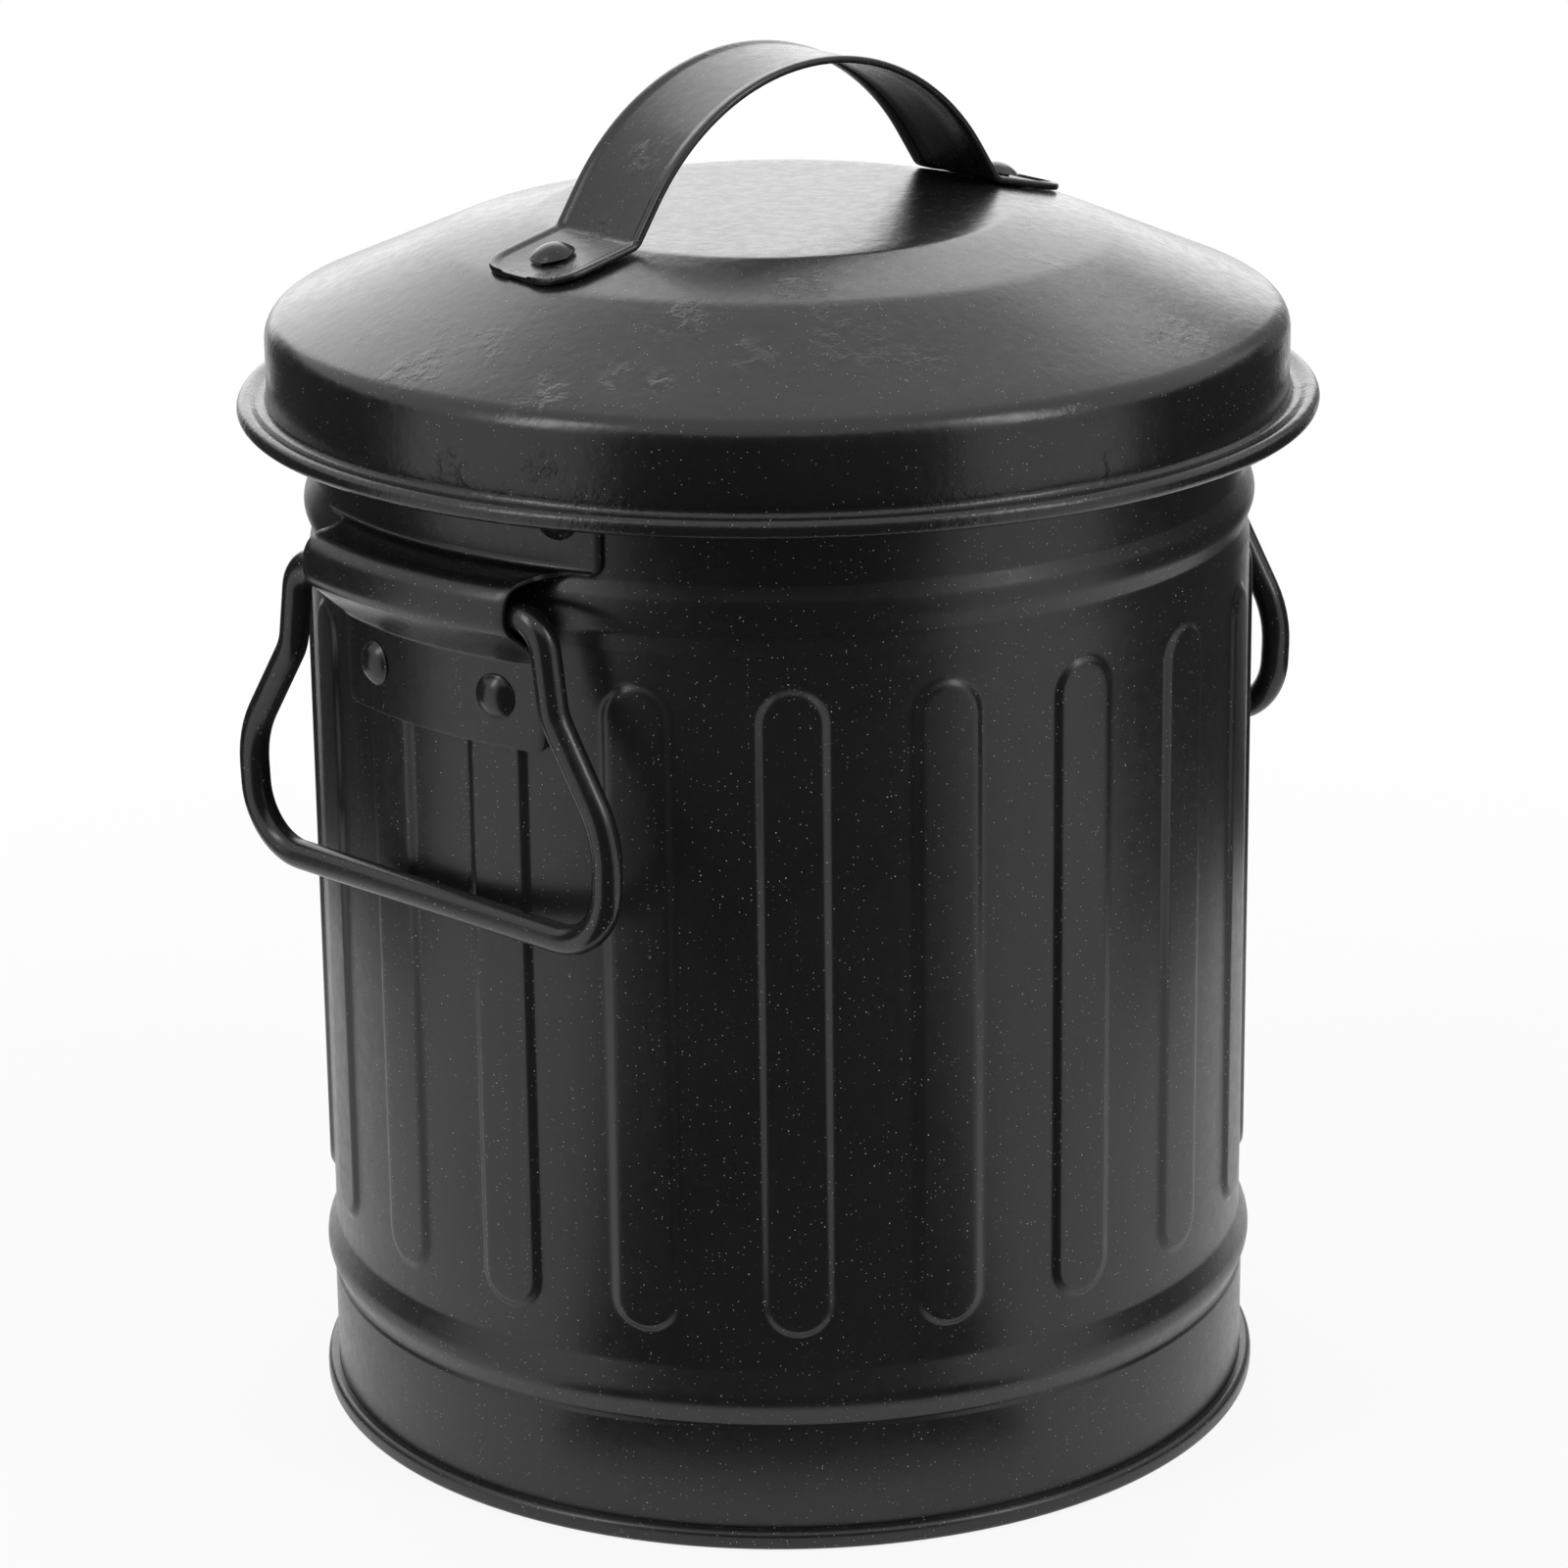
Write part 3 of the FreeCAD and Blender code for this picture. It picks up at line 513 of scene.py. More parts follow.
class Shading(NodeTree):
    """Builds one procedural material out of nodes."""

    def __init__(self, name: str) -> None:
        """Start an empty material with a shader and an output."""
        self.material = bpy.data.materials.new(name)
        super().__init__(self.material)
        self.output = self.add("ShaderNodeOutputMaterial")
        self.shader = self.add("ShaderNodeBsdfPrincipled")
        self.link(self.shader, "BSDF", self.output, "Surface")

    def mixed(self, factor: Node, first: Node | Colour, second: Colour) -> Node:
        """Mix a colour or an earlier mix with another colour, by a factor."""
        node = self.add("ShaderNodeMix", data_type="RGBA")
        self.link(factor, 0, node, 0)
        if isinstance(first, Node):
            self.link(first, MIX_RESULT, node, MIX_FIRST)
        else:
            node.inputs[MIX_FIRST].default_value = (*first, 1.0)
        node.inputs[MIX_SECOND].default_value = (*second, 1.0)
        return node

    def bump(self, height: Node, depth: float, under: Node | None = None) -> Node:
        """Turn a height into a bump.

        Args:
            height: the node that gives the height from 0 to 1.
            depth: the height of 1, in millimetres.
            under: a bump that lies under this one.

        Returns:
            The bump node.
        """
        node = self.add("ShaderNodeBump", {"Strength": 1.0, "Distance": depth * MM})
        self.link(height, 0, node, "Height")
        if under is not None:
            self.link(under, "Normal", node, "Normal")
        return node


@dataclass(frozen=True)
class PaintMark:
    """A place where thick paint gathered.

    Args:
        turn: its turn about the can's axis in degrees.
        out: its distance from the axis in millimetres.
        up: its height.
        size: how far it reaches.
    """

    turn: float
    out: float
    up: float
    size: float

    @property
    def spot(self) -> Vector:
        """The mark's place in metres."""
        angle = math.radians(self.turn)
        return Vector((self.out * math.cos(angle), self.out * math.sin(angle), self.up)) * MM


LID_MARKS = (
    PaintMark(210, 58, 193, 8), PaintMark(227, 48, 196, 5), PaintMark(207, 73, 186, 8),
    PaintMark(198, 82, 173, 7), PaintMark(188, 82, 173, 6), PaintMark(196, 77, 184, 7),
    PaintMark(260, 82, 170, 6), PaintMark(220, 65, 190, 6), PaintMark(178, 77, 185, 8),
    PaintMark(50, 64, 190, 9), PaintMark(333, 67, 188, 8),
)
STRAP_MARKS = (
    PaintMark(180, 52, 196, 9), PaintMark(177, 38, 200, 4), PaintMark(180, 30, 212, 6),
    PaintMark(333, 11, 223, 7), PaintMark(352, 50, 196, 8),
)


@dataclass(frozen=True)
class PowderCoat:
    """Black powder coat: rippled satin skin, fine grain, light specks, edges of rubbed paint and
    painted highlight.

    Args:
        name: the finish's name.
        colour: the coat's own colour.
        faded: its colour where it is thin.
        rubbed: how much lighter than that the edges are, as rubbed paint and painted highlight.
        speck: the colour of the specks in it.
        specks: the share of speck cells that show.
        roughness: the coat's roughness.
        roughness_swing: how far it varies.
        ripple: height of the orange peel in millimetres.
        ripple_size: its size in millimetres.
        grain: height of the fine grain.
        sag: height of the slow waves.
        flow: height of the edges that flowing paint left.
        marks: where thick paint gathered.
        rough_below: height on the piece below which the coat is crumpled, in millimetres.
        crumple: height of that crumpling.
    """

    name: str
    colour: Colour = (0.0095, 0.0095, 0.0097)
    faded: Colour = (0.0135, 0.0135, 0.0137)
    rubbed: float = 3.0
    speck: Colour = (0.60, 0.60, 0.62)
    specks: float = 0.48
    roughness: float = 0.26
    roughness_swing: float = 0.03
    ripple: float = 0.016
    ripple_size: float = 1.9
    grain: float = 0.007
    sag: float = 0.05
    flow: float = 0.0
    marks: tuple[PaintMark, ...] = ()
    rough_below: float = 0.0
    crumple: float = 0.0

    def build(self) -> Material:
        """Make the material."""
        shade = Shading(self.name)
        shader = shade.shader
        shader.inputs["IOR"].default_value = 1.5
        shader.inputs["Metallic"].default_value = 0.0
        cloudy = shade.ranged(shade.noise(scale=28.0, detail=3.0), low=0.35, high=0.7)
        tone = shade.mixed(cloudy, self.colour, self.faded)
        # Outer edges are lightened: partly rubbed paint, partly a painted highlight where the
        # rounded coat catches light.
        worn_highlight_colour = tuple(part * self.rubbed for part in self.faded)
        tone = shade.mixed(self._edges(shade), tone, worn_highlight_colour)
        tone = shade.mixed(self._flecks(shade), tone, self.speck)
        shade.link(tone, MIX_RESULT, shader, "Base Color")
        gloss = shade.ranged(
            shade.noise(scale=420.0, detail=4.0, rough=0.6), low=0.3, high=0.7,
            to_low=self.roughness - self.roughness_swing,
            to_high=self.roughness + self.roughness_swing)
        shade.link(gloss, 0, shader, "Roughness")
        waves = shade.bump(shade.noise(scale=55.0, detail=1.0), self.sag)
        if self.flow > 0:
            waves = shade.bump(self._flows(shade), self.flow, under=waves)
        if self.crumple > 0:
            waves = shade.bump(self._crumples(shade), self.crumple, under=waves)
        peel = shade.noise(scale=1.0 / (self.ripple_size * MM), detail=2.0)
        ripples = shade.bump(peel, self.ripple, under=waves)
        grains = shade.bump(shade.noise(scale=2600.0, detail=2.0), self.grain, under=ripples)
        shade.link(grains, "Normal", shader, "Normal")
        return shade.material

    def _edges(self, shade: Shading) -> Node:
        """Where edges are lightened, as rubbed paint and painted highlight: along outer edges,
        broken up by noise.
        """
        geometry = shade.add("ShaderNodeNewGeometry")
        sharp = shade.ranged(geometry, low=0.52, high=0.62, to_high=0.6, output="Pointiness")
        broken = shade.ranged(
            shade.noise(scale=420.0, detail=3.0), low=0.35, high=0.65, to_low=0.2)
        return shade.product(sharp, broken)

    def _flows(self, shade: Shading) -> Node:
        """Low steps where thick paint stopped flowing, in patches."""
        patches = shade.ranged(
            shade.noise(scale=38.0, detail=1.0), low=0.56, high=0.66, to_high=0.35)
        patches = shade.largest(patches, *self._gathered(shade))
        broken = shade.ranged(
            shade.noise(scale=170.0, detail=3.0), low=0.42, high=0.58, to_low=0.1)
        steps = shade.ranged(
            shade.noise(scale=380.0, detail=5.0, rough=0.66), low=0.42, high=0.58)
        return shade.product(patches, broken, steps)

    def _gathered(self, shade: Shading) -> list[Node]:
        """One in the middle of a mark and none outside it, for each mark."""
        place = shade.add("ShaderNodeTexCoord")
        nears = []
        for mark in self.marks:
            away = shade.add("ShaderNodeVectorMath", {1: mark.spot}, operation="DISTANCE")
            shade.link(place, "Object", away, 0)
            nears.append(shade.ranged(
                away, low=mark.size * 0.3 * MM, high=mark.size * MM, to_low=1.0, to_high=0.0,
                output="Value"))
        return nears

    def _crumples(self, shade: Shading) -> Node:
        """Crumpled thick paint below a height on the piece."""
        place = shade.add("ShaderNodeTexCoord")
        split = shade.add("ShaderNodeSeparateXYZ")
        shade.link(place, "Object", split, "Vector")
        low = shade.ranged(
            split, low=self.rough_below * MM, high=(self.rough_below - 4.0) * MM, output="Z")
        patchy = shade.ranged(
            shade.noise(scale=60.0, detail=1.0), low=0.35, high=0.6, to_low=0.35)
        return shade.product(low, patchy, shade.noise(scale=800.0, detail=3.0, rough=0.6))

    def _flecks(self, shade: Shading) -> Node:
        """Tiny light specks scattered in the coat, in two sizes."""
        place = shade.add("ShaderNodeTexCoord")
        spots = []
        for cells, width, share in ((1700.0, 0.155, 1.0), (1050.0, 0.13, 0.3)):
            cell = shade.add("ShaderNodeTexVoronoi", {"Scale": cells}, feature="F1")
            shade.link(place, "Object", cell, "Vector")
            dot = shade.ranged(
                cell, low=width * 0.6, high=width, to_low=1.0, to_high=0.0, output="Distance")
            chosen = shade.add("ShaderNodeSeparateColor")
            shade.link(cell, "Color", chosen, 0)
            lucky = shade.ranged(chosen, low=1.0 - self.specks * share, high=1.0)
            spots.append(shade.product(dot, lucky))
        return shade.largest(*spots)


@dataclass(frozen=True)
class Finishes:
    """The finishes of the can's pieces."""

    body: Material
    lid: Material
    strap: Material
    bracket: Material
    wire: Material
    rivet: Material

    @classmethod
    def mixed_up(cls) -> "Finishes":
        """Mix every finish."""
        return cls(
            body=PowderCoat("body_coat", roughness=0.31, ripple=0.018).build(),
            lid=PowderCoat("lid_coat", specks=0.28, roughness=0.25, ripple=0.034,
                           ripple_size=1.8, sag=0.06, flow=0.09, marks=LID_MARKS,
                           rough_below=174.0, crumple=0.10).build(),
            strap=PowderCoat("strap_coat", specks=0.30, roughness=0.27, ripple=0.040,
                             ripple_size=2.4, flow=0.10, marks=STRAP_MARKS).build(),
            bracket=PowderCoat("bracket_coat", specks=0.36, roughness=0.29).build(),
            wire=PowderCoat("wire_coat", specks=0.25, roughness=0.25, ripple=0.012,
                            ripple_size=1.5, sag=0.02).build(),
            rivet=PowderCoat("rivet_coat", specks=0.20, ripple=0.010, sag=0.0).build(),
        )


def hand_over(piece: Object, finish: Material, body: str, slot: str, *nodes: str) -> None:
    """Dress a finished piece and let it stand for its CAD nodes.

    Args:
        piece: the finished piece.
        finish: its material.
        body: the body that it moves with.
        slot: a material slot's name; not used.
        nodes: the CAD nodes that it stands for.
    """
    piece.data.materials.clear()
    piece.data.materials.append(finish)
    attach(piece, body)
    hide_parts(*nodes)
    LOG.info("%s: %d faces, rides on %s", piece.name, len(piece.data.polygons), body)


def radially(place: Vector) -> Vector:
    """The direction away from the can's axis at a place."""
    return Vector((place.x, place.y, 0.0))


# ---------------------------------------------------------------- can


@dataclass
class Can:
    """The ribbed wall of the can and its base."""

    wall_radius: float = 76.2
    neck_radius: float = 75.4
    foot_radius: float = 76.7
    sheet: float = 0.6
    mouth_curl: float = 1.6
    height: float = 183.4
    ribs: int = 20
    rib_radius: float = 5.5
    rib_high: float = 0.72
    rib_top: float = 141.0
    rib_bottom: float = 35.6
    rib_edge: tuple[float, float] = (4.15, 5.95)
    rib_flats: tuple[float, ...] = (0.001, 2.2, 3.5)
    panel_low: float = 32.6
    panel_high: float = 144.0
    panel_shares: tuple[float, ...] = (0.33, 0.66, 1.0)
    edge_steps: int = 8
    rib_rows: int = 12
    columns: int = 10
    side_steps: int = 3
    base_sheet: float = 0.5
    base_lift: float = 4.2
    base_inner: float = 75.55
    seam_radius: float = 78.6
    seam_height: float = 3.1

    def build(self, finishes: Finishes) -> None:
        """Make the wall and the base and dress them."""
        hand_over(self._wall(), finishes.body, "can", "sheet_paint", "can_body")
        hand_over(self._base(), finishes.body, "can", "sheet_paint", "can_base")

    def _band(self, name: str, path: BentPath) -> Object:
        """Spin a plain band of the wall from its profile."""
        bench = Bench(name)
        bench.trace_profile(path, arc_step=9.0, run_step=6.0)
        bench.spin(self.ribs * self.columns)
        bench.close()
        return bench.piece

    def _lower_band(self) -> Object:
        """The flange, foot and lower bead."""
        return self._band("lower_band", BentPath([
            Corner(self.foot_radius + 1.2, 1.15),
            Corner(self.foot_radius, 1.15, 0.5),
            Corner(self.foot_radius, 19.9, 0.7),
            Corner(self.foot_radius - 0.35, 20.7, 0.7),
            Corner(self.wall_radius + 1.95, 24.9, 4.4),
            Corner(self.wall_radius, 29.9, 2.4),
            Corner(self.wall_radius, self.panel_low),
        ]))

    def _upper_band(self) -> Object:
        """The groove, upper bead, neck and rolled mouth."""
        path = BentPath([
            Corner(self.wall_radius, self.panel_high),
            Corner(self.wall_radius, 146.0, 1.2),
            Corner(self.wall_radius - 0.6, 148.6, 1.6),
            Corner(self.neck_radius + 1.9, 153.0, 4.6),
            Corner(self.neck_radius, 157.0, 2.2),
            Corner(self.neck_radius, self.height - self.mouth_curl - self.sheet),
        ])
        path.curl(self.mouth_curl, -256.0)
        return self._band("upper_band", path)

    def _rib_height(self, out: float) -> float:
        """Height of a rib's surface at a distance from the rib's middle line."""
        crest, root = self.rib_edge
        share = min(max((out - crest) / (root - crest), 0.0), 1.0)
        return self.rib_high * (1.0 - share * share * (3.0 - 2.0 * share))

    def _rolled(self, across: float, up: float, high: float) -> Vector:
        """Roll a place on the flat panel round the can."""
        angle = across / self.wall_radius + math.pi / self.ribs
        radius = self.wall_radius + high
        return Vector((radius * math.cos(angle), radius * math.sin(angle), up))

    def _rib_outline(self) -> list[tuple[float, float, Vector]]:
        """The rib's outline in order round the rib.

        Returns:
            For each place its height on the rib's middle line, its heading from there, and
            the place of the panel's border that belongs to it.
        """
        top = self.rib_top - self.rib_radius
        bottom = self.rib_bottom + self.rib_radius
        half = math.pi * self.wall_radius / self.ribs
        turns = self.columns + 2 * self.side_steps
        outline = []
        for up, other, edge, side, heading in (
                (top, bottom, self.panel_high, 1.0, 0.0),
                (bottom, top, self.panel_low, -1.0, math.pi)):
            for step in range(turns + 1):
                rise = min(step, turns - step, self.side_steps) / self.side_steps
                share = 1 - 2 * (step - self.side_steps) / (turns - 2 * self.side_steps)
                across = side * half * min(max(share, -1.0), 1.0)
                outline.append((up, heading + math.pi * step / turns,
                                Vector((across, up + (edge - up) * rise))))
            for row in range(1, self.rib_rows):
                place = up + (other - up) * row / self.rib_rows
                outline.append((place, heading + math.pi, Vector((-side * half, place))))
        return outline

    def _panels(self) -> Object:
        """The ribbed part of the wall: one pressed panel, repeated round the can."""
        outline = self._rib_outline()
        crest, root = self.rib_edge
        outs = [*self.rib_flats]
        outs += [crest + (root - crest) * step / self.edge_steps
                 for step in range(self.edge_steps + 1)]
        outs.append(root + 0.5)

        def ring(out: float, share: float = 0.0) -> list[Vector]:
            """The ring of places round the rib's middle line.

            Args:
                out: distance from the middle line.
                share: how far the places then go towards the panel's border.

            Returns:
                The places, rolled round the can.
            """
            places = []
            for up, heading, edge in outline:
                near = Vector((out * math.cos(heading), up + out * math.sin(heading)))
                place = near.lerp(edge, share)
                places.append(self._rolled(place.x, place.y, self._rib_height(out)))
            return places

        bench = Bench("panels")
        rings = [ring(out) for out in outs]
        rings += [ring(outs[-1], share) for share in self.panel_shares]
        bench.loft(rings, closed=False)
        bench.merge()
        bench.spin(self.ribs, copies=True)
        bench.close()
        return bench.piece

    def _wall(self) -> Object:
        """Weld the bands to the ribbed part and give the sheet its thickness."""
        lower, upper, panels = self._lower_band(), self._upper_band(), self._panels()
        bench = Bench("can_wall")
        bench.start_joined([panels, lower, upper])
        bench.thicken(self.sheet)
        return bench.smooth(35.0)

    def _base(self) -> Object:
        """The base pan with its seam folded round the wall's flange."""
        path = BentPath([
            Corner(0.0, self.base_lift),
            Corner(self.base_inner, self.base_lift, 1.0),
            Corner(self.base_inner, 0.0, 0.6),
            Corner(self.seam_radius, 0.0, 0.9),
            Corner(self.seam_radius, self.seam_height, 1.1),
            Corner(self.foot_radius + 0.05, self.seam_height),
        ])
        return Bench("base_pan").spun_sheet(
            path, steps=(12.0, 20.0), columns=self.ribs * self.columns, sheet=self.base_sheet,
            outward=Vector((0.0, 0.0, -1.0)))


# ---------------------------------------------------------------- lid


@dataclass
class Lid:
    """The domed lid, its strap and the strap's rivets."""

    top: float = 198.26
    flat_radius: float = 37.9
    ring_radius: float = 53.6
    ring_slope: float = 13.3
    ring_z: float = 194.55
    skirt_radius: float = 82.2
    shoulder_z: float = 182.35
    gutter_z: float = 168.10
    edge_run: float = 2.6
    edge_rise: float = 1.501
    edge_radius: float = 1.5
    sheet: float = 0.6
    columns: int = 220
    turn: float = -6.5
    strap_off: float = -1.6
    strap_half: float = 10.3
    strap_sheet: float = 0.6
    strap_hem: float = 3.2
    strap_bead: float = 0.42
    strap_bend: float = 37.7
    strap_tip: float = 53.6
    strap_slope: float = 56.5
    strap_arch: float = 40.5
    strap_tip_round: float = 5.5
    tip_shares: tuple[float, ...] = (0.0, 0.03, 0.08, 0.16, 0.28, 0.45, 0.7, 1.0)
    bead_falls: tuple[tuple[float, float], ...] = (
        (2.7, 1.0), (2.1, 0.85), (1.6, 0.3), (1.1, 0.02))
    fold_steps: int = 8
    seat_gap: float = 0.05
    rivet_out: float = 46.2
    rivet_grip: float = 1.95

    def build(self, finishes: Finishes) -> None:
        """Make the lid's pieces and dress them."""
        hand_over(self._shell(), finishes.lid, "lid", "sheet_paint", "lid_shell")
        hand_over(self._strap(), finishes.strap, "lid", "sheet_paint", "lid_handle")
        rivets = Rivet(grip=self.rivet_grip).build({
            f"strap_rivet_{side.word}": self._rivet_place(sign)
            for side, sign in ((Side.LEFT, -1.0), (Side.RIGHT, 1.0))})
        for piece in rivets:
            node = piece.name.replace("strap", "lid")
            hand_over(piece, finishes.rivet, "lid", "rivet_paint", node)

    def _ring_height(self, out: float) -> float:
        """Height of the sloping ring at a distance from the lid's centre."""
        return self.top - (out - self.flat_radius) * math.tan(math.radians(self.ring_slope))

    def _shell(self) -> Object:
        """Spin the lid from its profile and give it its thickness."""
        path = BentPath([
            Corner(0.0, self.top),
            Corner(self.flat_radius, self.top, 6.0),
            Corner(self.ring_radius, self.ring_z, 14.0),
            Corner(self.skirt_radius, self.shoulder_z, 4.6),
            Corner(self.skirt_radius, self.gutter_z, 1.3),
            Corner(self.skirt_radius + self.edge_run, self.gutter_z + self.edge_rise),
        ])
        path.curl(self.edge_radius, -233.0)
        return Bench("lid_dome").spun_sheet(
            path, steps=(7.0, 4.0), columns=self.columns, sheet=self.sheet,
            outward=Vector((0.0, 0.0, 1.0)))

    def _strap_path(self) -> BentPath:
        """The top surface of the strap, from tip to tip."""
        slope = math.radians(self.ring_slope)
        rise = (self.strap_sheet * 2 + self.seat_gap) / math.cos(slope)
        bend_z = self._ring_height(self.strap_bend) + rise
        tip_z = self._ring_height(self.strap_tip) + rise
        peak = bend_z + self.strap_bend * math.tan(math.radians(self.strap_slope))
        return BentPath([
            Corner(-self.strap_tip, tip_z),
            Corner(-self.strap_bend, bend_z, 1.6),
            Corner(0.0, peak, self.strap_arch),
            Corner(self.strap_bend, bend_z, 1.6),
            Corner(self.strap_tip, tip_z),
        ])

    def _strap_section(self, half: float) -> list[tuple[float, float]]:
        """The strap's cut section: across and down from its top surface.

        Args:
            half: half the strap's width there.

        Returns:
            The places round the section.
        """
        sheet = self.strap_sheet
        sunk = self.strap_bead
        inner = max(half - self.strap_hem, half * 0.35)
        section = [(half - back, sunk * share) for back, share in self.bead_falls]
        for step in range(self.fold_steps + 1):
            angle = math.pi * step / self.fold_steps
            section.append((half - sheet + sheet * math.sin(angle),
                            sheet * (1 - math.cos(angle))))
        section += [(inner, sheet * 2), (inner - 0.12, sheet * 1.85), (inner - 0.15, sheet + sunk),
                    (inner * 0.5, sheet + sunk)]
        return section + [(-across, down) for across, down in reversed(section)]

    def _strap(self) -> Object:
        """Sweep the folded section along the bent strap."""
        path = self._strap_path()
        tips = [self.strap_tip_round * share for share in self.tip_shares]
        ends = tips + [path.length - tip for tip in tips]
        marks = merged_marks(ends, path.stations(arc_step=2.5, run_step=4.0))
        turn = Matrix.Rotation(math.radians(self.turn), 3, "Z")

        def ring(mark: float) -> list[Vector]:
            """The section's places at a distance along the strap."""
            centre, along = path.at(mark)
            down = Vector((along.y, -along.x))
            tip = min(mark, path.length - mark, self.strap_tip_round)
            corner = self.strap_tip_round
            half = self.strap_half - corner + math.sqrt(corner ** 2 - (corner - tip) ** 2)
            return [
                turn @ Vector((centre.x + down.x * under, across + self.strap_off,
                               centre.y + down.y * under))
                for across, under in self._strap_section(half)]

        bench = Bench("lid_strap")
        bench.loft([ring(mark) for mark in marks])
        bench.close()
        bench.soften(width=0.10, angle=62.0)
        return bench.smooth(40.0)

    def _rivet_place(self, sign: float) -> Matrix:
        """Where a strap rivet sits: square to the sloping ring."""
        slope = math.radians(self.ring_slope)
        seat = (self.strap_sheet * 2 + self.seat_gap * 2) / math.cos(slope)
        base = Vector((sign * self.rivet_out, self.strap_off,
                       self._ring_height(self.rivet_out) + seat))
        turn = Matrix.Rotation(math.radians(self.turn), 4, "Z")
        return turn @ Matrix.Translation(base * MM) @ Matrix.Rotation(sign * slope, 4, "Y")


# ---------------------------------------------------------------- handles


@dataclass
class Rivet:
    """A domed rivet with its closed end, along Z with the head's seat at the origin."""

    head: float = 3.6
    dome: float = 1.7
    grip: float = 2.4
    shank: float = 2.0
    tail: float = 2.3
    tail_high: float = 1.0
    dome_share: float = 0.93
    dome_steps: int = 9
    edge_falls: tuple[tuple[float, float], ...] = (
        (0.55, 0.72), (0.88, 0.40), (1.0, 0.12), (0.97, 0.0))
    columns: int = 40

    def build(self, places: dict[str, Matrix]) -> list[Object]:
        """Make the rivet once and copy it.

        Args:
            places: the rivets' names and where each sits, in metres.

        Returns:
            The rivets, placed in their meshes.
        """
        crown = (self.head ** 2 + self.dome ** 2) / (2 * self.dome)
        reach = math.asin(self.head / crown) * self.dome_share
        dome = []
        for step in range(self.dome_steps + 1):
            angle = reach * step / self.dome_steps
            dome.append(Vector((crown * math.sin(angle), 0.0,
                                self.dome - crown * (1 - math.cos(angle)))))
        rim = dome[-1]
        edge = [Vector((rim.x + (self.head - rim.x) * out, 0.0, rim.z * up))
                for out, up in self.edge_falls]
        low = -(self.grip + self.tail_high)
        back = [Vector(pair) for pair in (
            (self.shank, 0.0, 0.0), (self.shank, 0.0, -self.grip), (self.tail, 0.0, -self.grip),
            (self.tail, 0.0, low + 0.5), (self.tail - 0.15, 0.0, low + 0.15),
            (self.tail - 0.5, 0.0, low), (0.0, 0.0, low))]
        bench = Bench("rivet")
        bench.trace(dome + edge + back)
        bench.spin(self.columns)
        bench.face_out(lambda spot: spot)
        bench.close()
        return placed_copies(bench.smooth(50.0), places)


@dataclass(frozen=True)
class RivetPair:
    """Two rivets of a bracket.

    Args:
        level: the pair's word in the rivets' names.
        angle: how far each is turned from the bracket's middle, in degrees.
        up: their height.
        seat: the radius of the sheet's face that they sit on.
        wall: the wall's inner radius there.
    """

    level: str
    angle: float
    up: float
    seat: float
    wall: float


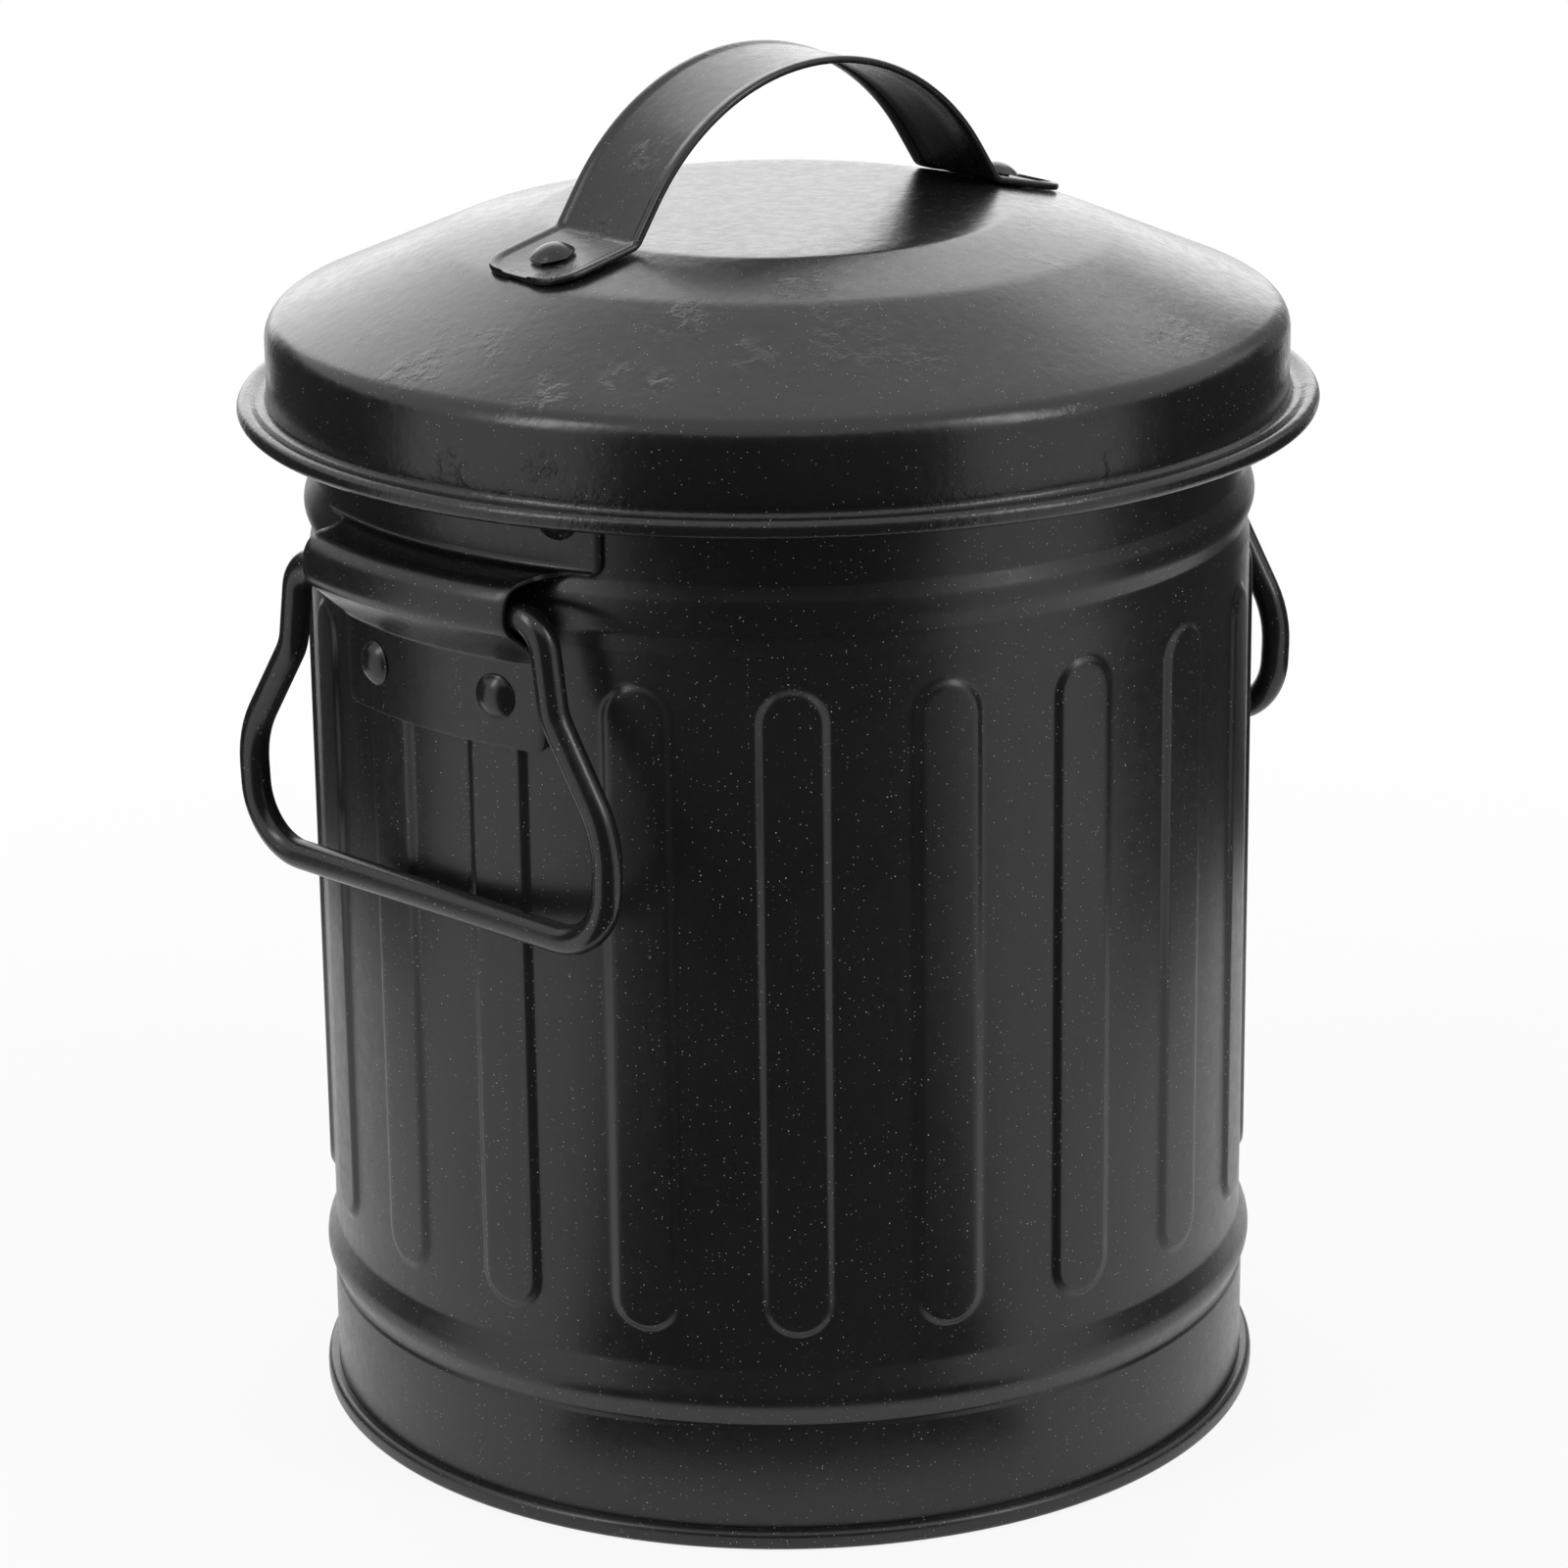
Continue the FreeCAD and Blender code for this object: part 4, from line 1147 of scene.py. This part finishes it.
@dataclass
class Bracket:
    """A sheet-metal bracket that is folded into a tunnel for the bail's pins, and its rivets."""

    upper_face: float = 76.25
    lower_face: float = 77.95
    seat_gap: float = 0.05
    sheet: float = 0.8
    top: float = 171.4
    fold: float = 157.6
    crease: float = 142.9
    bottom: float = 129.0
    brow: tuple[float, float] = (85.65, 156.9)
    nose: tuple[float, float] = (86.25, 150.2)
    fold_round: float = 1.4
    nose_round: float = 4.0
    upper_half: float = 30.2
    tunnel_half: float = 22.4
    lower_half: float = 22.0
    corner: float = 3.0
    tab_corner: float = 1.5
    corner_shares: tuple[float, ...] = (0.0, 0.04, 0.14, 0.3, 0.55, 1.0)
    tab_shares: tuple[float, ...] = (0.0, 0.06, 0.2, 0.5, 1.0)
    columns: int = 24
    wing_columns: int = 5

    def build(self, finishes: Finishes) -> None:
        """Make the bracket and its rivets once, copy them to both sides and dress them."""
        sides = {f"bracket_{side.word}": side.matrix for side in Side}
        for piece in placed_copies(self._sheet(), sides):
            hand_over(piece, finishes.bracket, "can", "sheet_paint", f"handle_{piece.name}")
        for pair in (RivetPair("upper", 18.0, 166.0, self.upper_face, 74.8),
                     RivetPair("lower", 10.0, 136.9, self.lower_face, 76.5)):
            for piece in self._rivets(pair):
                node = f"bracket_rivet_{piece.name.replace('rivet_', '')}"
                hand_over(piece, finishes.rivet, "can", "rivet_paint", node)

    def _rivets(self, pair: RivetPair) -> list[Object]:
        """Make a pair of rivets on both sides, seated on the sheet and closed inside the wall."""
        chord = math.sqrt(pair.wall ** 2 - Rivet.tail ** 2)
        lying = Matrix.Translation(Vector((pair.seat + self.seat_gap, 0.0, pair.up)) * MM)
        lying = lying @ Matrix.Rotation(math.pi / 2, 4, "Y")
        places = {}
        for side in Side:
            for end, sign in (("front", -1.0), ("back", 1.0)):
                turn = Matrix.Rotation(math.radians(sign * pair.angle), 4, "Z")
                places[f"{pair.level}_rivet_{end}_{side.word}"] = side.matrix @ turn @ lying
        return Rivet(grip=pair.seat + self.seat_gap * 2 - chord).build(places)

    def _path(self) -> BentPath:
        """The bracket's outer surface from its top edge down."""
        return BentPath([
            Corner(self.upper_face, self.top),
            Corner(self.upper_face, self.fold, self.fold_round),
            Corner(*self.brow, self.nose_round),
            Corner(*self.nose, self.nose_round),
            Corner(self.lower_face, self.crease, self.fold_round),
            Corner(self.lower_face, self.bottom),
        ])

    @staticmethod
    def _rounded(half: float, radius: float, gone: float) -> float:
        """Half width near an end whose corners are round, at a distance from the end."""
        if gone >= radius:
            return half
        return half - radius + math.sqrt(max(radius ** 2 - (radius - gone) ** 2, 0.0))

    def _half_width(self, mark: float, ledge: float, path: BentPath) -> float:
        """Half the blank's width, without the upper tab's wings.

        Args:
            mark: distance along the blank from its top edge.
            ledge: where the wings end.
            path: the bent path of the bracket.

        Returns:
            Half the width in millimetres.
        """
        wing_root = self.tunnel_half + self.corner
        if mark <= ledge:
            return wing_root
        gone = mark - ledge
        if gone < self.corner:
            return wing_root - math.sqrt(self.corner ** 2 - (self.corner - gone) ** 2)
        height = path.at(mark)[0].y
        share = min(max((self.crease - height) / (self.crease - self.bottom), 0.0), 1.0)
        half = self.tunnel_half + (self.lower_half - self.tunnel_half) * share
        return self._rounded(half, self.tab_corner, path.length - mark)

    def _sheet(self) -> Object:
        """Cut the flat blank, bend it along the path, and give it its thickness."""
        path = self._path()
        ledge = next(mark for mark in path.stations(arc_step=1.0, run_step=0.1)
                     if path.at(mark)[0].y < self.fold + 0.15)
        near = [share * self.corner for share in self.corner_shares]
        small = [share * self.tab_corner for share in self.tab_shares]
        least = 0.06
        marks = merged_marks(
            path.stations(arc_step=9.0, run_step=3.0), small, [ledge - step for step in small],
            [ledge + step for step in near], [path.length - step for step in small], least=least)
        marks = [ledge if abs(mark - ledge) < least else mark for mark in marks]

        def bent(across: float, mark: float) -> Vector:
            """Bend a place of the flat blank round the can."""
            point = path.at(mark)[0]
            return Vector((math.sqrt(point.x ** 2 - across ** 2), across, point.y))

        def main_place(column: int, row: int) -> Vector:
            """A place of the blank's middle part."""
            mark = marks[row]
            half = self._half_width(mark, ledge, path)
            return bent(half * (2 * column / (self.columns - 1) - 1), mark)

        upper = [mark for mark in marks if mark <= ledge + 1e-6]
        root = self.tunnel_half + self.corner

        def wing_place(sign: float, column: int, row: int) -> Vector:
            """A place of a wing of the upper tab."""
            mark = upper[row]
            reach = self._rounded(self.upper_half, self.tab_corner, min(mark, ledge - mark))
            share = column / (self.wing_columns - 1)
            return bent(sign * (root + (reach - root) * share), mark)

        pieces = []
        for columns, rows, place in (
                (self.columns, len(marks), main_place),
                (self.wing_columns, len(upper), partial(wing_place, -1.0)),
                (self.wing_columns, len(upper), partial(wing_place, 1.0))):
            part = Bench("blank")
            part.start_grid(columns, rows, place)
            part.close()
            pieces.append(part.piece)
        bench = Bench("bracket")
        bench.start_joined(pieces)
        bench.thicken(self.sheet)
        bench.soften(width=0.22, angle=60.0)
        return bench.smooth(35.0)


@dataclass
class Bail:
    """A bail of round wire that hangs from a bracket's tunnel."""

    wire: float = 2.35
    plane: float = 79.6
    pin: float = 151.8
    reach: float = 13.2
    places: tuple[tuple[float, float, float], ...] = (
        (27.2, 0.0, 5.5), (29.3, 14.3, 9.0), (40.2, 31.1, 16.0), (39.4, 49.3, 10.6))
    tip_insets: tuple[tuple[float, float], ...] = ((0.0, 0.35), (0.12, 0.1), (0.4, 0.0))
    round_sides: int = 28

    def build(self, finishes: Finishes) -> None:
        """Sweep the wire along the bail once, copy it to both sides and dress it."""
        right = [Corner(self.reach, self.pin)]
        right += [Corner(half, self.pin - drop, bend) for half, drop, bend in self.places]
        left = [Corner(-corner.across, corner.up, corner.radius) for corner in reversed(right)]
        path = BentPath(right + left)

        def ring(mark: float, inset: float) -> list[Vector]:
            """The wire's section at a distance along the bail, made thinner by an inset."""
            centre, along = path.at(mark)
            outward = Vector((-along.y, along.x))
            places = []
            for step in range(self.round_sides):
                angle = math.tau * step / self.round_sides
                reach = outward * math.cos(angle) * (self.wire - inset)
                side = math.sin(angle) * (self.wire - inset)
                places.append(Vector((self.plane + side, centre.x + reach.x, centre.y + reach.y)))
            return places

        rings = [*self.tip_insets]
        rings += [(mark, 0.0) for mark in path.stations(arc_step=6.0, run_step=5.0)[1:-1]]
        rings += [(path.length - mark, inset) for mark, inset in reversed(self.tip_insets)]
        bench = Bench("bail")
        bench.loft([ring(mark, inset) for mark, inset in rings])
        bench.close()
        wires = {f"wire_bail_{side.word}": side.matrix for side in Side}
        for piece in placed_copies(bench.smooth(50.0), wires):
            node = piece.name.removeprefix("wire_")
            hand_over(piece, finishes.wire, f"side_{node}", "wire_paint", node)


# ---------------------------------------------------------------- studio


@dataclass(frozen=True)
class SoftBox:
    """A soft box: where it hangs as seen from the camera's side, its size and its radiance."""

    name: str
    place: tuple[float, float, float]
    size: tuple[float, float]
    radiance: float
    mirrored: bool = True

    def hang(self, turn: Matrix) -> None:
        """Hang the box and aim it at the can."""
        data = bpy.data.lights.new(self.name, "AREA")
        data.shape = "RECTANGLE"
        data.size, data.size_y = self.size
        data.energy = self.radiance * math.pi * self.size[0] * self.size[1]
        lamp = bpy.data.objects.new(self.name, data)
        lamp.location = turn @ Vector(self.place)
        aim = Vector((0.0, 0.0, 0.1)) - lamp.location
        lamp.rotation_euler = aim.to_track_quat("-Z", "Y").to_euler()
        lamp.visible_camera = False
        lamp.visible_glossy = self.mirrored
        bpy.context.scene.collection.objects.link(lamp)


@dataclass(frozen=True)
class Card:
    """A grey card that the can mirrors: a strip bent round the can, seen only in reflections.

    Args:
        name: the card's name.
        middle: the turn of its middle from the camera's side, in degrees.
        spread: its half angle in degrees.
        glow: how bright it is, where 1 is white.
        path: the distances from the can's axis and the heights that it runs through, in metres.
        steps: how many flat strips it is bent into.
    """

    name: str
    middle: float
    spread: float
    glow: float
    path: tuple[tuple[float, float], ...]
    steps: int = 24

    def stand(self, azimuth: float) -> None:
        """Stand the card round the can."""
        start = math.radians(azimuth - 90.0 + self.middle + self.spread)
        heading = Matrix.Rotation(start, 3, "Z")
        bench = Bench(self.name)
        bench.trace([heading @ Vector((out, 0.0, up)) / MM for out, up in self.path])
        bench.spin(self.steps, angle=math.radians(self.spread * 2))
        bench.close()
        shade = Shading(self.name)
        shade.tree.nodes.remove(shade.shader)
        paint = shade.add("ShaderNodeEmission", {"Strength": self.glow})
        shade.link(paint, 0, shade.output, "Surface")
        shade.material.cycles.emission_sampling = "NONE"
        bench.piece.data.materials.append(shade.material)
        bench.piece.visible_camera = False
        bench.piece.visible_diffuse = False
        bench.piece.visible_shadow = False


@dataclass
class Studio:
    """The pale floor, the soft lights and the camera.

    The camera's place is measured from the centre of the base ring: how far out it stands, how
    high, and from which side. Its lens and framing follow a square frame of 1600 points.
    """

    frame_points: float = 1600.0
    focal_points: float = 5388.2
    axis_point: float = 804.95
    distance: float = 0.82992
    height: float = 0.37263
    azimuth: float = -46.15
    yaw: float = 0.0012
    pitch: float = 0.3161
    roll: float = -0.0117
    sensor: float = 36.0
    farthest: float = 20.0
    floor_size: float = 16.0
    floor_sunk: float = 0.0002
    floor_colour: float = 0.88
    floor_white: float = 0.90
    floor_fade: tuple[float, float] = (0.14, 0.55)
    ambient: float = 0.30
    boxes: tuple[SoftBox, ...] = (
        SoftBox("back_box", (-0.25, 2.5, 1.2), (2.9, 2.4), 1.35),
        SoftBox("top_box", (0.0, 0.3, 1.9), (1.6, 1.6), 1.1, False),
        SoftBox("left_box", (-1.35, -0.78, 1.45), (0.42, 1.0), 6.0),
        SoftBox("right_box", (1.35, -0.78, 1.45), (0.42, 1.0), 6.0),
    )
    cards: tuple[Card, ...] = (
        Card("front_card", 0.0, 38.0, 0.05, ((0.10, 0.002), (1.5, 0.002), (1.5, 1.3))),
        Card("left_card", -118.0, 32.0, 0.06, ((0.29, 0.002), (1.5, 0.002), (1.5, 0.6))),
        Card("right_card", 114.0, 34.0, 0.06, ((0.29, 0.002), (1.5, 0.002), (1.5, 0.6))),
        Card("back_right_card", 147.0, 11.0, 0.30, ((1.45, 0.0), (1.45, 0.95))),
    )

    def build(self) -> None:
        """Set up the studio."""
        self._camera()
        self._floor()
        self._world()
        turn = Matrix.Rotation(math.radians(self.azimuth), 3, "Z")
        for box in self.boxes:
            box.hang(turn)
        for card in self.cards:
            card.stand(self.azimuth)
        bpy.context.scene.view_settings.view_transform = "Standard"

    def _camera(self) -> None:
        """Stand the camera where the photograph was taken."""
        turn = Matrix.Rotation(math.radians(self.azimuth), 3, "Z")
        cos_pitch = math.cos(self.pitch)
        forward = Vector((math.sin(self.yaw) * cos_pitch, math.cos(self.yaw) * cos_pitch,
                          -math.sin(self.pitch)))
        level = Vector((math.cos(self.yaw), -math.sin(self.yaw), 0.0))
        above = level.cross(forward)
        right = level * math.cos(self.roll) + above * math.sin(self.roll)
        upward = above * math.cos(self.roll) - level * math.sin(self.roll)
        place = Matrix((turn @ right, turn @ upward, turn @ -forward)).transposed().to_4x4()
        place.translation = turn @ Vector((0.0, -self.distance, self.height))
        data = bpy.data.cameras.new("camera")
        data.sensor_fit = "HORIZONTAL"
        data.sensor_width = self.sensor
        data.lens = self.focal_points / self.frame_points * self.sensor
        data.shift_x = (self.frame_points / 2 - self.axis_point) / self.frame_points
        data.clip_end = self.farthest
        camera = bpy.data.objects.new("camera", data)
        camera.matrix_world = place
        bpy.context.scene.collection.objects.link(camera)
        bpy.context.scene.camera = camera

    def _floor(self) -> None:
        """Lay a wide pale floor that shows white and keeps a faint shadow."""
        bpy.ops.object.select_all(action="DESELECT")
        bpy.ops.mesh.primitive_plane_add(
            size=self.floor_size, location=(0.0, 0.0, -self.floor_sunk))
        floor = bpy.context.view_layer.objects.active
        floor.name = "floor"
        shade = Shading("floor_paint")
        shade.shader.inputs["Base Color"].default_value = (*[self.floor_colour] * 3, 1.0)
        shade.shader.inputs["Roughness"].default_value = 0.9
        shade.shader.inputs["Specular IOR Level"].default_value = 0.1
        white = shade.add("ShaderNodeEmission")
        mix = shade.add("ShaderNodeMixShader")
        away = shade.add("ShaderNodeVectorMath", operation="LENGTH")
        shade.link(shade.add("ShaderNodeTexCoord"), "Object", away, 0)
        fading = shade.ranged(away, *self.floor_fade, to_low=self.floor_white, output="Value")
        share = shade.product(shade.seen(), fading)
        for socket, source in enumerate((share, shade.shader, white)):
            shade.link(source, 0, mix, socket)
        shade.link(mix, 0, shade.output, "Surface")
        floor.data.materials.append(shade.material)

    def _world(self) -> None:
        """A white surround that the camera and reflections see, dimmer as a light."""
        world = bpy.data.worlds.new("surround")
        tree = NodeTree(world)
        mix = tree.add("ShaderNodeMixShader")
        tree.link(tree.seen(), 0, mix, 0)
        for socket, strength in ((1, self.ambient), (2, 1.0)):
            glow = tree.add(
                "ShaderNodeBackground", {"Color": (1.0, 1.0, 1.0, 1.0), "Strength": strength})
            tree.link(glow, 0, mix, socket)
        tree.link(mix, 0, tree.add("ShaderNodeOutputWorld"), 0)
        bpy.context.scene.world = world


def main() -> None:
    """Build the can, its lid and its handles, and stand them in the studio."""
    logging.basicConfig(level=logging.INFO, format="%(name)s: %(message)s")
    finishes = Finishes.mixed_up()
    Can().build(finishes)
    Lid().build(finishes)
    Bracket().build(finishes)
    Bail().build(finishes)
    Studio().build()


if __name__ == "__main__":
    main()
